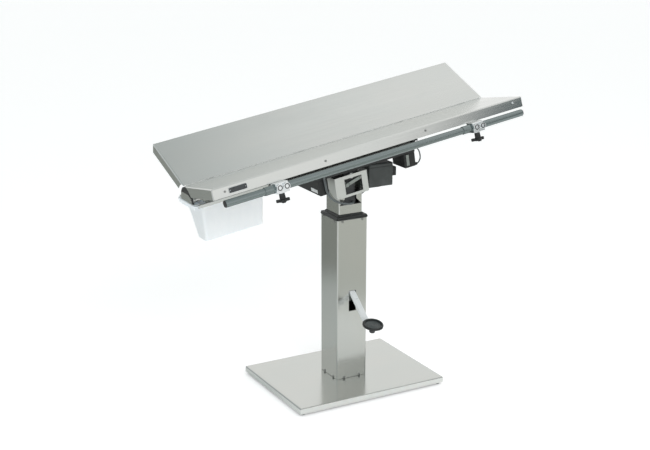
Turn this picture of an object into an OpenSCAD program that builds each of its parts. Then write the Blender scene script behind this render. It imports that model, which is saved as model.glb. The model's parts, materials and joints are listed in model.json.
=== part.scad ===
// V-top operating table: square hydraulic column, foot pedal, tilting head and a two-wing drain top.
// Units are millimetres. X runs along the table, the drain end is at -X, the pedal and rail face -Y.
// The origin is on the floor, on the axis of the column.

/* [Base] */
// Length of the base plate
base_l = 618; // [520:1:760]
// Width of the base plate
base_w = 465; // [400:1:600]
// Height of the folded edge of the base cover
base_edge_h = 22; // [16:1:40]
// Bend radius of the base cover
base_bend_r = 5; // [3:0.5:8]
// Sheet thickness of the base cover
base_sheet = 2; // [1:0.5:3]
// Height of a foot below the base
foot_h = 8; // [5:1:20]
// Diameter of a foot
foot_d = 14; // [12:1:30]
// Distance of a foot's axis from the edges of the base
foot_inset = 17; // [15:1:60]

/* [Outer column] */
// Side of the square outer column
column_w = 127; // [122:1:140]
// Wall of the outer column
column_wall = 3; // [2:0.5:4]
// Corner radius of the outer column
column_r = 5; // [4:0.5:8]
// Height of the outer column above the base
column_h = 628; // [590:1:700]
// Width of the slot that the pedal comes through
slot_w = 30; // [28:1:36]
// Height of that slot
slot_h = 80; // [72:1:90]
// Height of the slot's lower edge above the base
slot_z = 269; // [262:1:275]
// Height of the black collar above the column
collar_h = 12; // [9:1:25]
// How far the collar stands out from the column's faces
collar_proud = 3; // [1:0.5:6]

/* [Inner column] */
// Side of the square inner column
inner_w = 98; // [94:1:104]
// Wall of the inner column
inner_wall = 3; // [2:0.5:4]
// Length of the inner column
inner_l = 507; // [490:1:540]
// Height of the inner column that shows above the outer one at rest
inner_exposed = 99; // [90:1:110]
// Height of the tilt axis above the inner column's top edge
axis_above_inner = 65; // [60:1:72]

/* [Pedal] */
// Length of the sloping part of the pedal arm
pedal_l = 150; // [120:1:180]
// Length of its flat end, to the middle of the pad
pedal_end_l = 54; // [44:1:70]
// Slope of the pedal arm at rest, in degrees
pedal_slope = 38; // [30:1:42]
// Width of the pedal arm
arm_w = 24; // [18:1:26]
// Thickness of the pedal arm
arm_t = 8; // [6:0.5:10]
// Diameter of the pedal pad
pad_d = 78; // [60:1:95]
// Forward tilt of the pad, in degrees
pad_tilt = 12; // [0:1:20]

/* [Tilting head] */
// Tilt of the table at rest, drain end down, in degrees
tilt_angle = 9; // [4:1:12]
// Diameter of the tilt shaft
shaft_d = 20; // [16:1:22]
// Width of the stainless head cover along the table
head_l = 137; // [130:1:145]
// Depth of the head cover across the table
head_w = 124; // [122:1:130]
// Height of the head cover
head_h = 82; // [76:1:84]
// Length of the black saddle beam
saddle_l = 413; // [380:1:460]
// Width of the saddle beam
saddle_w = 190; // [170:1:220]
// Depth of the saddle beam
saddle_h = 38; // [30:1:44]

/* [Table top] */
// Length of the table top
top_l = 1270; // [1150:1:1400]
// Width of one wing, from its valley edge to its outer edge
wing_w = 254; // [230:1:280]
// Depth of the flanges round a wing
flange_h = 38; // [30:1:40]
// Sheet thickness of a wing
wing_sheet = 2; // [1.5:0.5:3]
// Outside bend radius of a wing
wing_bend_r = 5; // [4:0.5:8]
// Angle of the rear wing at rest, in degrees
rear_angle = 25; // [15:1:30]
// Angle of the front wing at rest, in degrees
front_angle = 10.5; // [5:0.5:20]
// Height of the valley above the tilt axis
valley_h = 126.5; // [124:0.5:130]

/* [Accessory rail] */
// Diameter of the rail
rail_d = 25.4; // [20:0.1:27]
// How much shorter than the top the rail is, with its end caps
rail_short = 50; // [30:1:170]
// Distance of the rail's axis out from the wing's front face
rail_out = 13; // [12:0.5:20]
// End of the top to the middle of the nearer rail holder
holder_inset = 233; // [195:1:275]
// Diameter across the lobes of a clamp knob
knob_d = 53; // [44:1:60]

/* [Drain bucket] */
// Length of the bucket at its top
bucket_l = 242; // [200:1:260]
// Width of the bucket at its top
bucket_w = 149; // [135:1:155]
// Length of the bucket at its floor
bucket_floor_l = 227; // [190:1:250]
// Width of the bucket at its floor
bucket_floor_w = 73; // [60:1:100]
// Depth of the bucket
bucket_h = 146; // [110:1:160]
// Wall of the bucket
bucket_wall = 3; // [2:0.5:4]

/* [Hidden] */

$fn = 48;
cut = 1;              // overrun of a cutting solid
seat = 0.3;           // gap between pieces that seat without touching
run_fit = 0.05;       // radial clearance of a shaft in its hole

steel = "#c9cbc8";
black = "#26282a";
grey = "#4b4d4d";
bright = "#dfe3e3";
white = "#eef3f5";

// Places up the column
base_top = foot_h + base_edge_h;
column_top = base_top + column_h;
inner_top = column_top + inner_exposed;
inner_bottom = inner_top - inner_l;
axis_z = inner_top + axis_above_inner;
inner_r = 4;

// Places on the table top, measured in its own tilted frame
top_shift = 6;                       // the top's middle from the tilt axis
hinge_drop = 9;                      // wing hinge axis below the valley line
wing_gap = 6;                        // hinge axis to the wing's valley edge
wing_out = wing_gap + wing_w;        // hinge axis to the wing's outer face
wing_low = hinge_drop - flange_h;    // lower edge of a flange, from the hinge axis
under_panel = hinge_drop - wing_sheet;
valley_lip_n = 4.3;                  // lower edge of the lip at the valley, clear of the knuckles

// Valley spine
spine_r = 31;
spine_wall = 3;
spine_low = -57;                     // lower edge of the spine, from the valley line
spine_l = top_l - 2 * (wing_sheet + seat);
bulkhead_half = 44;
bulkhead_r = 24;
seal_r = 52;

// Saddle beam
saddle_x0 = -164;                    // drain-side end of the saddle, in the top's frame
saddle_x1 = saddle_x0 + saddle_l;
saddle_wall = 5;
saddle_top = spine_low;
saddle_low = saddle_top - saddle_h;
tongue_y = 80;                       // of the two tongues that carry the bucket's runners
actuator_h = 60;
junction_h = 56;
pod_w = saddle_w - 2 * saddle_wall;
pod_r = 6;
actuator_l = 39;
junction_l = 49;
junction_w = 90;

// Tilting head
lug_t = 8;
lug_y = 42;                          // inner face of a lug from the middle
lug_half = 30;
shaft_collar_wall = 4;
shaft_collar_t = 3.5;
lug_r = 24;
lug_foot_share = 0.25;
cheek_t = 10;
cheek_y = 26;
cheek_half = 28;
cheek_r = 25;
bush_wall = 4;
bush_rim = 3;
bush_rim_t = 1.4;
cover_t = 2.5;
cover_x0 = -76;                      // drain-side face of the cover from the tilt axis
cover_top = 8;
return_l = 72;                       // depth of the curved return at its top
return_short = 12;
return_rear = 50;                    // right return of the rear plate, kept clear of the box bracket
return_rear_h = 56;
window_x0 = -36;
window_w = 73;
window_top = -5;
window_h = 59;

// Tilt link: a slotted bar between the front lug and a stud on the front cheek
link_t = 5;
link_w = 12.5;
link_pin_r = 4;
link_pin_at = [38, -15];             // on the lug, from the tilt axis, in the head's frame
stud_r = 3;
stud_at = [-24, -30.5];              // on the cheek, from the tilt axis, in the head's frame at rest
link_slot_l = 21;
link_slot_gap = 0.6;
link_gap = 1;                        // lug face to link
link_head_t = 2;
link_head_r = 7;
link_y = lug_y + lug_t + link_gap;

// Hydraulics and pedal
cylinder_d = 56;
cylinder_y = 14;
cylinder_l = 390;
cylinder_floor = 12;
ram_d = 36;
ram_low = 100;
bracket_base_t = 10;
bracket_drop = 67;                   // column's top edge down to the bracket's foot
bracket_base_z = inner_top - bracket_drop;
pivot_y = -41;
pivot_drop = 271;                    // column's top down to the pedal's pivot
pivot_z = column_top - pivot_drop;
pedal_x = 2;
pin_r = 4;
pin_l = 42;
hub_r = 9;
lug_gap = 1;                         // pedal arm to the pump block's lugs
pump_lug_t = 6;
pump_block_h = 52;
pump_half = 30;

// Rail and its holders, in the wing's frame
rail_r = rail_d / 2;
rail_l = top_l - rail_short;
holder_x = top_l / 2 - holder_inset;
rail_wall = 2;
rail_shift = 4;                      // middle of the rail from the middle of the table
cap_t = 3;
cap_spigot = 12;
holder_l = 48;
holder_wall = 7;
holder_under = 5;                    // block below the rail
holder_lip = 2.5;
sleeve_l = 36;
sleeve_wall = 2;
clamp_lip_h = 3;
rail_e = wing_out + rail_out;
rail_gap = 6;                        // flange's lower edge to the rail
rail_n = wing_low - rail_gap - rail_r;
boss_r = 12.5;
boss_h = 11;
boss_step = 26.5;
stud_knob_r = 3;

// Bucket and its runners, in the top's frame
rim_t = 4;
rim_w = 7.5;                         // how far the rim stands out from the bucket's sides
rim_pull = 19;                       // length of the pull lip at the drain end
rim_top = -58;
runner_t = 2.5;
runner_gap = 1;
runner_lap = 8;
runner_inset = 12;
bucket_inset = 26;
bucket_x0 = -top_l / 2 + bucket_inset;   // drain-side end of the bucket's body
lip_drop = 12;
cross_t = 4;
cross_gap = 8;
cross_x = bucket_x0 + bucket_l + rim_w + cross_gap;   // tongue ends, past the bucket's inner end

// Wing hinges and lock quadrants
rod_r = 4;
knuckle_r = 7;
knuckle_l = 12;
hinge_lug_t = 8;
hinge_gap = 0.5;
leaf_l = 42;
leaf_t = 3;
hinge_shares = [-0.42, -0.14, 0.2, 0.42];
quad_r = 95;
quad_half = 12;
quad_t = 4;
quad_gap = 3;
quad_web = 32;
quad_slot_r = 4.2;
lock_stud_r = 3.6;
lock_angle = 40;                     // of the stud below the hinge axis
slot_from = 35;
slot_to = 77;
lever_l = 58;
lever_w = 12;
lever_t = 8;
lever_hub_r = 11;

// Frames that the moving groups are drawn in

module head_frame() {
    translate([0, 0, axis_z]) rotate([0, -tilt_angle, 0]) children();
}

module top_frame() {
    head_frame() translate([top_shift, 0, valley_h]) children();
}

// In a wing's frame +Y runs out along the panel and +Z is square to it
module rear_frame() {
    top_frame() translate([0, 0, -hinge_drop]) rotate([rear_angle, 0, 0]) children();
}

module front_frame() {
    top_frame() translate([0, 0, -hinge_drop]) mirror([0, 1, 0]) rotate([front_angle, 0, 0]) children();
}

// Shapes that several pieces share

module round_rect(l, w, r) {
    square([l - 2 * r, w], center = true);
    square([l, w - 2 * r], center = true);
    for (x = [-1, 1], y = [-1, 1]) translate([x * (l / 2 - r), y * (w / 2 - r)]) circle(r);
}

// A rectangle standing on the x axis with its two upper corners rounded
module arch_rect(l, h, r) {
    translate([-l / 2, 0]) square([l, h - r]);
    translate([-l / 2 + r, 0]) square([l - 2 * r, h]);
    for (x = [-1, 1]) translate([x * (l / 2 - r), h - r]) circle(r);
}

// A block with rounded upright corners and rounded upper edges, standing on z = 0
module folded_block(l, w, h, r) {
    intersection() {
        linear_extrude(h) round_rect(l, w, r);
        rotate([90, 0, 0]) translate([0, 0, -w / 2 - cut]) linear_extrude(w + 2 * cut) arch_rect(l, h, r);
        rotate([90, 0, 90]) translate([0, 0, -l / 2 - cut]) linear_extrude(l + 2 * cut) arch_rect(w, h, r);
    }
}

module folded_pan(l, w, h, r, t) {
    difference() {
        folded_block(l, w, h, r);
        translate([0, 0, -t]) folded_block(l - 2 * t, w - 2 * t, h, r - t);
    }
}

module square_tube(w, wall, r, h) {
    linear_extrude(h) difference() {
        round_rect(w, w, r);
        round_rect(w - 2 * wall, w - 2 * wall, r - wall);
    }
}

// A cylinder along Y, from y0 for a length l
module along_y(r, y0, l) {
    translate([0, y0, 0]) rotate([-90, 0, 0]) cylinder(r = r, h = l);
}

module along_x(r, x0, l) {
    translate([x0, 0, 0]) rotate([0, 90, 0]) cylinder(r = r, h = l);
}

// A round tube swept along points, closed at both ends
function unit(v) = v / norm(v);
function way(p, i) = unit(p[min(i + 1, len(p) - 1)] - p[max(i - 1, 0)]);
function ring(c, d, r, sides, side_way) =
    let (a = unit(cross(d, side_way)), b = cross(d, a))
    [for (k = [0:sides - 1]) c + r * (cos(360 * k / sides) * a + sin(360 * k / sides) * b)];

module tube(p, r, sides, side_way) {
    n = len(p);
    points = [for (i = [0:n - 1]) each ring(p[i], way(p, i), r, sides, side_way)];
    walls = [for (i = [0:n - 2], k = [0:sides - 1]) each [
        [i * sides + k, i * sides + (k + 1) % sides, (i + 1) * sides + k],
        [i * sides + (k + 1) % sides, (i + 1) * sides + (k + 1) % sides, (i + 1) * sides + k]]];
    first = [for (k = [1:sides - 2]) [0, k + 1, k]];
    last = [for (k = [1:sides - 2]) [(n - 1) * sides, (n - 1) * sides + k, (n - 1) * sides + k + 1]];
    polyhedron(points, concat(walls, first, last));
}

// Base

module base_cover() {
    color(steel) translate([0, 0, foot_h]) folded_pan(base_l, base_w, base_edge_h, base_bend_r, base_sheet);
}

foot_x = base_l / 2 - foot_inset;
foot_y = base_w / 2 - foot_inset;
foot_stud_r = 4;
foot_stud_h = 12;

module base_weight() {
    inset = 2 * (base_sheet + seat);
    color(grey) translate([0, 0, foot_h]) difference() {
        linear_extrude(base_edge_h - base_sheet - seat)
            round_rect(base_l - inset, base_w - inset, base_bend_r - base_sheet);
        for (x = [-1, 1], y = [-1, 1]) translate([x * foot_x, y * foot_y, -cut])
            cylinder(r = foot_stud_r + run_fit, h = foot_stud_h + cut);
        translate([0, 0, base_edge_h - base_sheet - base_bend_r])
            weight_chamfer(base_l - inset, base_w - inset);
    }
}

// Bevels the upper edge of the weight where the cover bends round it
module weight_chamfer(l, w) {
    bevel = base_bend_r;
    for (y = [-1, 1]) translate([0, y * w / 2, bevel]) rotate([45, 0, 0])
        cube([l + 2 * cut, bevel * sqrt(2), bevel * sqrt(2)], center = true);
    for (x = [-1, 1]) translate([x * l / 2, 0, bevel]) rotate([0, 45, 0])
        cube([bevel * sqrt(2), w + 2 * cut, bevel * sqrt(2)], center = true);
}

module levelling_feet() {
    neck_share = 0.7;
    pad_share = 0.55;
    neck_r = foot_d / 2 * neck_share;
    pad_h = foot_h * pad_share;
    color(black) for (x = [-1, 1], y = [-1, 1]) translate([x * foot_x, y * foot_y, 0]) {
        cylinder(r = foot_d / 2, h = pad_h);
        cylinder(r = neck_r, h = foot_h);
        cylinder(r = foot_stud_r, h = foot_h + foot_stud_h - seat);
    }
}

// Outer column

module outer_column() {
    lip_l = 9;
    lip_t = 2;
    color(steel) translate([0, 0, base_top]) {
        difference() {
            square_tube(column_w, column_wall, column_r, column_h);
            translate([pedal_x - slot_w / 2, -column_w / 2 - cut, slot_z])
                cube([slot_w, column_wall + 2 * cut, slot_h]);
            column_screw_holes();
        }
        translate([pedal_x - slot_w / 2, -column_w / 2 + column_wall - seat / 2, slot_z - lip_t])
            cube([slot_w, lip_l, lip_t]);
    }
}

screw_r = 3;
screw_head_r = 4;
head_taper_share = 0.75;
screw_head_h = 2.6;
screw_l = 10;
foot_screw_x = 33;
foot_screw_z = 5;
collar_screw_x = 42;
collar_screw_z = 5;
foot_frame_h = 30;

// Places the children at each screw on the four faces, with +X pointing out of the face
module at_column_screws() {
    for (a = [0:90:270]) rotate([0, 0, a]) for (s = [-1, 1]) {
        translate([column_w / 2, s * foot_screw_x, foot_screw_z]) children();
        translate([column_w / 2, s * collar_screw_x, column_h - collar_screw_z]) children();
    }
}

module column_screw_holes() {
    at_column_screws() along_x(screw_r + run_fit, -column_wall - cut, column_wall + 2 * cut);
}

module column_screws() {
    color(grey) translate([0, 0, base_top]) at_column_screws() {
        along_x(screw_r, -screw_l, screw_l);
        rotate([0, 90, 0])
            cylinder(r1 = screw_head_r, r2 = screw_head_r * head_taper_share, h = screw_head_h);
    }
}

module column_foot_frame() {
    frame_w = column_w - 2 * column_wall - 2 * seat;
    frame_wall = 8;
    color(grey) translate([0, 0, base_top]) difference() {
        square_tube(frame_w, frame_wall, frame_wall + cut, foot_frame_h);
        for (a = [0:90:270], s = [-1, 1]) rotate([0, 0, a])
            translate([column_w / 2, s * foot_screw_x, foot_screw_z])
            along_x(screw_r + run_fit, -column_w / 4, column_w / 4);
    }
}

collar_w = column_w + 2 * collar_proud;
collar_bore = inner_w + 2 * seat;
collar_spread = 10;
collar_lip_w = inner_w + collar_spread;
collar_lip_h = 6;
spigot_h = 14;

module column_collar() {
    step_share = 0.45;
    step_h = collar_h * step_share;
    step_in = 4;
    color(black) translate([0, 0, column_top]) difference() {
        union() {
            linear_extrude(step_h) round_rect(collar_w, collar_w, column_r + collar_proud);
            linear_extrude(collar_h) round_rect(collar_w - step_in, collar_w - step_in, column_r);
            linear_extrude(collar_h + collar_lip_h)
                round_rect(collar_lip_w, collar_lip_w, inner_r + column_wall);
            translate([0, 0, -spigot_h]) linear_extrude(spigot_h + cut)
                round_rect(column_w - 2 * column_wall - 2 * seat,
                    column_w - 2 * column_wall - 2 * seat, inner_r);
        }
        translate([0, 0, -spigot_h - cut]) linear_extrude(collar_h + collar_lip_h + spigot_h + 2 * cut)
            round_rect(collar_bore, collar_bore, inner_r + seat);
        for (a = [0:90:270], s = [-1, 1]) rotate([0, 0, a])
            translate([column_w / 2, s * collar_screw_x, -collar_screw_z])
            along_x(screw_r + run_fit, -column_w / 4, column_w / 4);
    }
}

// Hydraulics

module hydraulic_cylinder() {
    color(grey) translate([0, cylinder_y, base_top]) difference() {
        cylinder(d = cylinder_d, h = cylinder_l);
        translate([0, 0, cylinder_floor]) cylinder(r = ram_d / 2 + run_fit, h = cylinder_l);
    }
}

module hydraulic_ram() {
    color(bright) translate([0, cylinder_y, ram_low]) cylinder(d = ram_d, h = bracket_base_z - ram_low);
}

module pump_block() {
    block_z = pivot_z - hub_r - pump_block_h;
    back_y = cylinder_y + cylinder_d / 2 + inner_wall / 2;
    front_y = -cylinder_d / 2 - arm_t / 2;
    lug_x = arm_w / 2 + lug_gap;
    color(grey) difference() {
        union() {
            translate([-pump_half, front_y, block_z]) cube([2 * pump_half, back_y - front_y, pump_block_h]);
            for (s = [-1, 1]) translate([pedal_x + s * (lug_x + pump_lug_t / 2), 0, 0]) {
                translate([0, pivot_y, pivot_z]) along_x(hub_r, -pump_lug_t / 2, pump_lug_t);
                translate([-pump_lug_t / 2, pivot_y - hub_r, block_z + pump_block_h / 2])
                    cube([pump_lug_t, front_y - pivot_y + hub_r + cut,
                        pivot_z - block_z - pump_block_h / 2]);
            }
        }
        translate([0, cylinder_y, block_z - cut])
            cylinder(d = cylinder_d + 2 * seat, h = pump_block_h + 2 * cut);
        translate([pedal_x, pivot_y, pivot_z]) along_x(pin_r + run_fit, -pin_l, 2 * pin_l);
    }
}

module pedal_pin() {
    color(bright) translate([pedal_x, pivot_y, pivot_z]) along_x(pin_r, -pin_l / 2, pin_l);
}

// In the pedal's frame +X runs down along the arm and the pivot is the origin
module pedal_frame() {
    translate([pedal_x, pivot_y, pivot_z]) rotate([0, 0, -90]) rotate([0, pedal_slope, 0]) children();
}

// The flat end of the arm, which carries the pad
module pedal_end_frame() {
    pedal_frame() translate([pedal_l, 0, 0]) rotate([0, pad_tilt - pedal_slope, 0]) children();
}

// The bent bar from the side, in the pedal's frame
module pedal_profile() {
    turn_angle = pedal_slope - pad_tilt;
    mitre = arm_t / 2 * tan(turn_angle / 2);
    end_l = pedal_end_l + arm_w;
    along = [cos(turn_angle), sin(turn_angle)] * end_l;
    up = [-sin(turn_angle), cos(turn_angle)] * arm_t / 2;
    polygon([[0, -arm_t / 2], [pedal_l + mitre, -arm_t / 2], [pedal_l, 0] + along - up,
        [pedal_l, 0] + along + up,
        [pedal_l - mitre, arm_t / 2], [0, arm_t / 2]]);
    circle(hub_r);
}

module pedal_arm() {
    color(bright) difference() {
        intersection() {
            pedal_frame() translate([0, arm_w, 0]) rotate([90, 0, 0]) linear_extrude(2 * arm_w)
                pedal_profile();
            pedal_end_frame() translate([0, 0, -pedal_l]) linear_extrude(2 * pedal_l) {
                translate([-2 * pedal_l, -arm_w / 2]) square([2 * pedal_l + pedal_end_l, arm_w]);
                translate([pedal_end_l, 0]) circle(arm_w / 2);
            }
        }
        pedal_frame() along_y(pin_r + run_fit, -arm_w, 2 * arm_w);
        pedal_end_frame() translate([pedal_end_l, 0, -arm_t]) cylinder(r = screw_r + run_fit, h = 2 * arm_t);
    }
}

// A dished rubber pad with a ribbed floor, on a steel boss under the arm
module pedal_pad() {
    pad_r = pad_d / 2;
    rim_r = 4;
    skirt = -4;
    rise = arm_t / 2 + seat;
    rim_top_z = 14;
    boss_wall = 3;
    boss_r = arm_w / 2 + boss_wall;
    skirt_share = 0.6;
    floor_share = 0.8;
    ring_share = 0.2;
    ring_r = 1.2;
    floor_z = 8;
    color(black) pedal_end_frame() translate([pedal_end_l, 0, 0]) difference() {
        union() {
            rotate_extrude() {
                polygon([[0, rise], [boss_r, rise], [boss_r, skirt], [pad_r * skirt_share, skirt],
                    [pad_r, rim_top_z - 2 * rim_r], [pad_r, rim_top_z - rim_r], [pad_r - rim_r, rim_top_z],
                    [pad_r * floor_share, floor_z], [0, floor_z]]);
                translate([pad_r - rim_r, rim_top_z - rim_r]) circle(rim_r);
            }
            for (k = [1:3]) rotate_extrude() translate([k * pad_r * ring_share, floor_z]) circle(ring_r);
        }
        mirror([1, 0, 0]) translate([0, -arm_w / 2 - seat, -arm_t])
            cube([pad_d, arm_w + 2 * seat, arm_t + rise]);
    }
}

// The nut and stud that hold the pad to the arm
module pad_nut() {
    nut_r = 13;
    nut_h = 18;
    nut_taper_share = 0.8;
    color(grey) pedal_end_frame() translate([pedal_end_l, 0, 0]) {
        translate([0, 0, -arm_t / 2 - seat - nut_h])
            cylinder(r1 = nut_r * nut_taper_share, r2 = nut_r, h = nut_h);
        translate([0, 0, -arm_t / 2 - seat - nut_h / 2]) cylinder(r = screw_r, h = arm_t + nut_h / 2 + seat);
    }
}

// Inner column and what it carries

pedal_slot_half = 22;
pedal_slot_rise = 84;
pedal_slot_top = pivot_z + pedal_slot_rise;
notch_shares = [[-0.94, -0.94], [0.94, -0.94], [0.5, -0.5], [0.5, 1], [-0.5, 1], [-0.5, -0.5]];

module inner_column() {
    half = inner_w / 2;
    color(steel) difference() {
        translate([0, 0, inner_bottom]) square_tube(inner_w, inner_wall, inner_r, inner_l);
        translate([-pedal_slot_half, -half - cut, inner_bottom - cut])
            cube([2 * pedal_slot_half, inner_wall + 2 * cut, pedal_slot_top - inner_bottom + cut]);
        translate([0, -half + inner_wall + cut, inner_top]) rotate([90, 0, 0])
            linear_extrude(inner_wall + 2 * cut) polygon([for (s = notch_shares) s * half]);
    }
}

module lower_guides() {
    strip_w = 18;
    strip_h = 60;
    strip_x = 35;
    gap = (column_w - 2 * column_wall - inner_w) / 2;
    color(white) for (a = [0:90:270], s = [-1, 1]) rotate([0, 0, a])
        translate([inner_w / 2, s * strip_x - strip_w / 2, inner_bottom + seat])
            cube([gap - seat, strip_w, strip_h]);
}

module pivot_bracket() {
    plate_w = inner_w - 2 * inner_wall - 2 * seat;
    cheek_z = bracket_base_z + bracket_base_t;
    color(grey) difference() {
        union() {
            translate([0, 0, bracket_base_z]) linear_extrude(bracket_base_t)
                round_rect(plate_w, plate_w, inner_r);
            for (s = [-1, 1]) translate([0, s * (cheek_y + cheek_t / 2), 0]) {
                translate([-cheek_half, -cheek_t / 2, cheek_z - cut])
                    cube([2 * cheek_half, cheek_t, inner_top - cheek_z + cut]);
                translate([-cheek_r, -cheek_t / 2, inner_top - cut])
                    cube([2 * cheek_r, cheek_t, axis_z - inner_top + cut]);
                translate([0, 0, axis_z]) along_y(cheek_r, -cheek_t / 2, cheek_t);
            }
        }
        translate([0, 0, axis_z]) along_y(shaft_d / 2 + bush_wall + run_fit, -inner_w, 2 * inner_w);
    }
}

module pivot_bushes() {
    bush_r = shaft_d / 2 + bush_wall;
    color("#b08d57") translate([0, 0, axis_z]) for (s = [0, 1]) mirror([0, s, 0]) difference() {
        union() {
            along_y(bush_r, cheek_y, cheek_t);
            along_y(bush_r + bush_rim, cheek_y - bush_rim_t - seat, bush_rim_t);
            along_y(bush_r, cheek_y - bush_rim_t - seat, bush_rim_t + 2 * seat);
        }
        along_y(shaft_d / 2 + run_fit, 0, inner_w);
    }
}

// The stud stands on the front cheek and carries the slotted end of the tilt link
module link_stud() {
    head_y = link_y + link_t + seat;
    front = cheek_y + cheek_t;
    color(bright) head_frame() translate([stud_at[0], 0, stud_at[1]]) mirror([0, 1, 0]) {
        along_y(stud_r, front, head_y - front + link_head_t);
        along_y(link_head_r, head_y, link_head_t);
        along_y(link_head_r, front, link_head_t);
    }
}

box_x0 = 80;
box_l = 105;
box_w = 80;
box_h = 88;
box_y0 = -45;
box_drop = 60;
box_z = axis_z - box_drop;
shelf_t = 5;

module box_bracket() {
    shelf_w = 60;
    shelf_l = 90;
    gusset_l = 72;
    gusset_h = 40;
    x0 = inner_w / 2;
    color(grey) translate([x0, 0, box_z - shelf_t]) {
        translate([0, -shelf_w / 2, 0]) cube([shelf_l, shelf_w, shelf_t]);
        translate([0, -shelf_w / 2, -gusset_h]) cube([shelf_t, shelf_w, gusset_h + cut]);
        translate([0, shelf_t / 2, 0]) rotate([90, 0, 0]) linear_extrude(shelf_t)
            polygon([[0, cut], [gusset_l, cut], [gusset_l, 0], [shelf_t, -gusset_h], [0, -gusset_h]]);
    }
}

module control_box() {
    box_r = 5;
    groove = 1.5;
    lid_h = 14;
    color(grey) translate([box_x0 + box_l / 2, box_y0 + box_w / 2, box_z]) {
        difference() {
            folded_block(box_l, box_w, box_h, box_r);
            translate([0, 0, box_h - lid_h]) difference() {
                linear_extrude(groove) square([box_l + 2 * cut, box_w + 2 * cut], center = true);
                translate([0, 0, -cut]) linear_extrude(groove + 2 * cut)
                    round_rect(box_l - 2 * groove, box_w - 2 * groove, box_r - groove);
            }
        }
    }
}

module control_box_latch() {
    latch = [17, 30, 34];
    latch_low = 38;
    color(black) translate([box_x0 + box_l, box_y0 + latch[1] / 2 + pod_r, box_z + box_h - latch_low])
        rotate([0, 90, 0]) linear_extrude(latch[0]) round_rect(latch[2], latch[1], pod_r / 2);
}

// Tilting head

module tilt_shaft() {
    shaft_end = 4;
    half = lug_y + lug_t + shaft_end;
    color(bright) head_frame() along_y(shaft_d / 2, -half, 2 * half);
}

module shaft_collars() {
    color(grey) head_frame() for (s = [0, 1]) mirror([0, s, 0]) difference() {
        along_y(shaft_d / 2 + shaft_collar_wall, lug_y + lug_t + seat, shaft_collar_t);
        along_y(shaft_d / 2 + run_fit, 0, head_w);
    }
}

module lug_outline(link_arm) {
    top = valley_h + saddle_top - saddle_wall;
    translate([-lug_half, 0]) square([2 * lug_half, top]);
    circle(lug_r);
    translate([-lug_half, 0]) square([2 * lug_half, lug_r * lug_foot_share]);
    if (link_arm) {
        arm_wall = 4;
        arm_r = link_pin_r + arm_wall;
        rotate(atan2(link_pin_at[1], link_pin_at[0])) translate([0, -arm_r])
            square([norm(link_pin_at), 2 * arm_r]);
        translate(link_pin_at) circle(arm_r);
    }
}

module tilt_lugs() {
    color(black) head_frame() difference() {
        union() {
            translate([0, -lug_y, 0]) rotate([90, 0, 0]) linear_extrude(lug_t) lug_outline(true);
            translate([0, lug_y + lug_t, 0]) rotate([90, 0, 0]) linear_extrude(lug_t) lug_outline(false);
        }
        along_y(shaft_d / 2 + run_fit, -head_w, 2 * head_w);
        translate([link_pin_at[0], 0, link_pin_at[1]]) along_y(link_pin_r + run_fit, -head_w, head_w);
    }
}

// Quarter-ellipse outline of a curved return, from the cover's face (x = 0) inwards
return_steps = 10;
function return_points(l, h) = concat([[0, 0]],
    [for (i = [0:return_steps]) [l * cos(90 * i / return_steps), -h * sin(90 * i / return_steps)]]);

module head_cover() {
    hole_l = 2 * lug_half + 2 * seat;
    hole_w = 2 * (lug_y + lug_t + shaft_collar_t + 2 * seat);
    corner_r = 4;
    color(steel) head_frame() {
        for (s = [0, 1]) mirror([0, s, 0]) translate([0, -head_w / 2, 0]) {
            translate([0, cover_t, 0]) rotate([90, 0, 0]) linear_extrude(cover_t) difference() {
                translate([cover_x0 + head_l / 2, cover_top - head_h / 2])
                    round_rect(head_l, head_h, corner_r);
                if (s == 0) translate([window_x0, window_top - window_h]) square([window_w, window_h]);
            }
            translate([cover_x0, 0, cover_top]) rotate([90, 0, 90]) linear_extrude(cover_t)
                polygon(return_points(return_l, head_h));
            if (s == 0) translate([cover_x0 + head_l - cover_t, 0, cover_top - head_h + corner_r])
                cube([cover_t, return_short, head_h - corner_r]);
            if (s == 1) translate([cover_x0 + head_l - cover_t, 0, cover_top - return_rear_h])
                cube([cover_t, return_rear, return_rear_h]);
        }
        translate([0, 0, cover_top - cover_t]) linear_extrude(cover_t) difference() {
            translate([cover_x0, -head_w / 2]) square([head_l, head_w]);
            square([hole_l, hole_w], center = true);
        }
    }
}

// The link's frame: origin on its pin, +X towards the slotted end
link_reach = norm(stud_at - link_pin_at);
link_angle = atan2(stud_at[1] - link_pin_at[1], stud_at[0] - link_pin_at[0]);

module tilt_link() {
    slot_r = stud_r + link_slot_gap;
    end_l = link_reach + link_slot_l / 2;
    color(bright) head_frame() translate([link_pin_at[0], -link_y, link_pin_at[1]]) rotate([90, 0, 0])
        rotate(link_angle) linear_extrude(link_t) difference() {
            union() {
                circle(link_w / 2);
                translate([0, -link_w / 2]) square([end_l, link_w]);
                translate([end_l, 0]) circle(link_w / 2);
            }
            circle(link_pin_r + run_fit);
            translate([link_reach - link_slot_l / 2 + slot_r, 0]) circle(slot_r);
            translate([link_reach + link_slot_l / 2 - slot_r, 0]) circle(slot_r);
            translate([link_reach - link_slot_l / 2 + slot_r, -slot_r])
                square([link_slot_l - 2 * slot_r, 2 * slot_r]);
        }
}

module link_pin() {
    head_y = link_y + link_t + seat;
    color(grey) head_frame() translate([link_pin_at[0], 0, link_pin_at[1]]) mirror([0, 1, 0]) {
        along_y(link_pin_r, lug_y, head_y - lug_y + link_head_t);
        along_y(link_head_r, head_y, link_head_t);
    }
}

// Saddle beam and the housings under it

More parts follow.
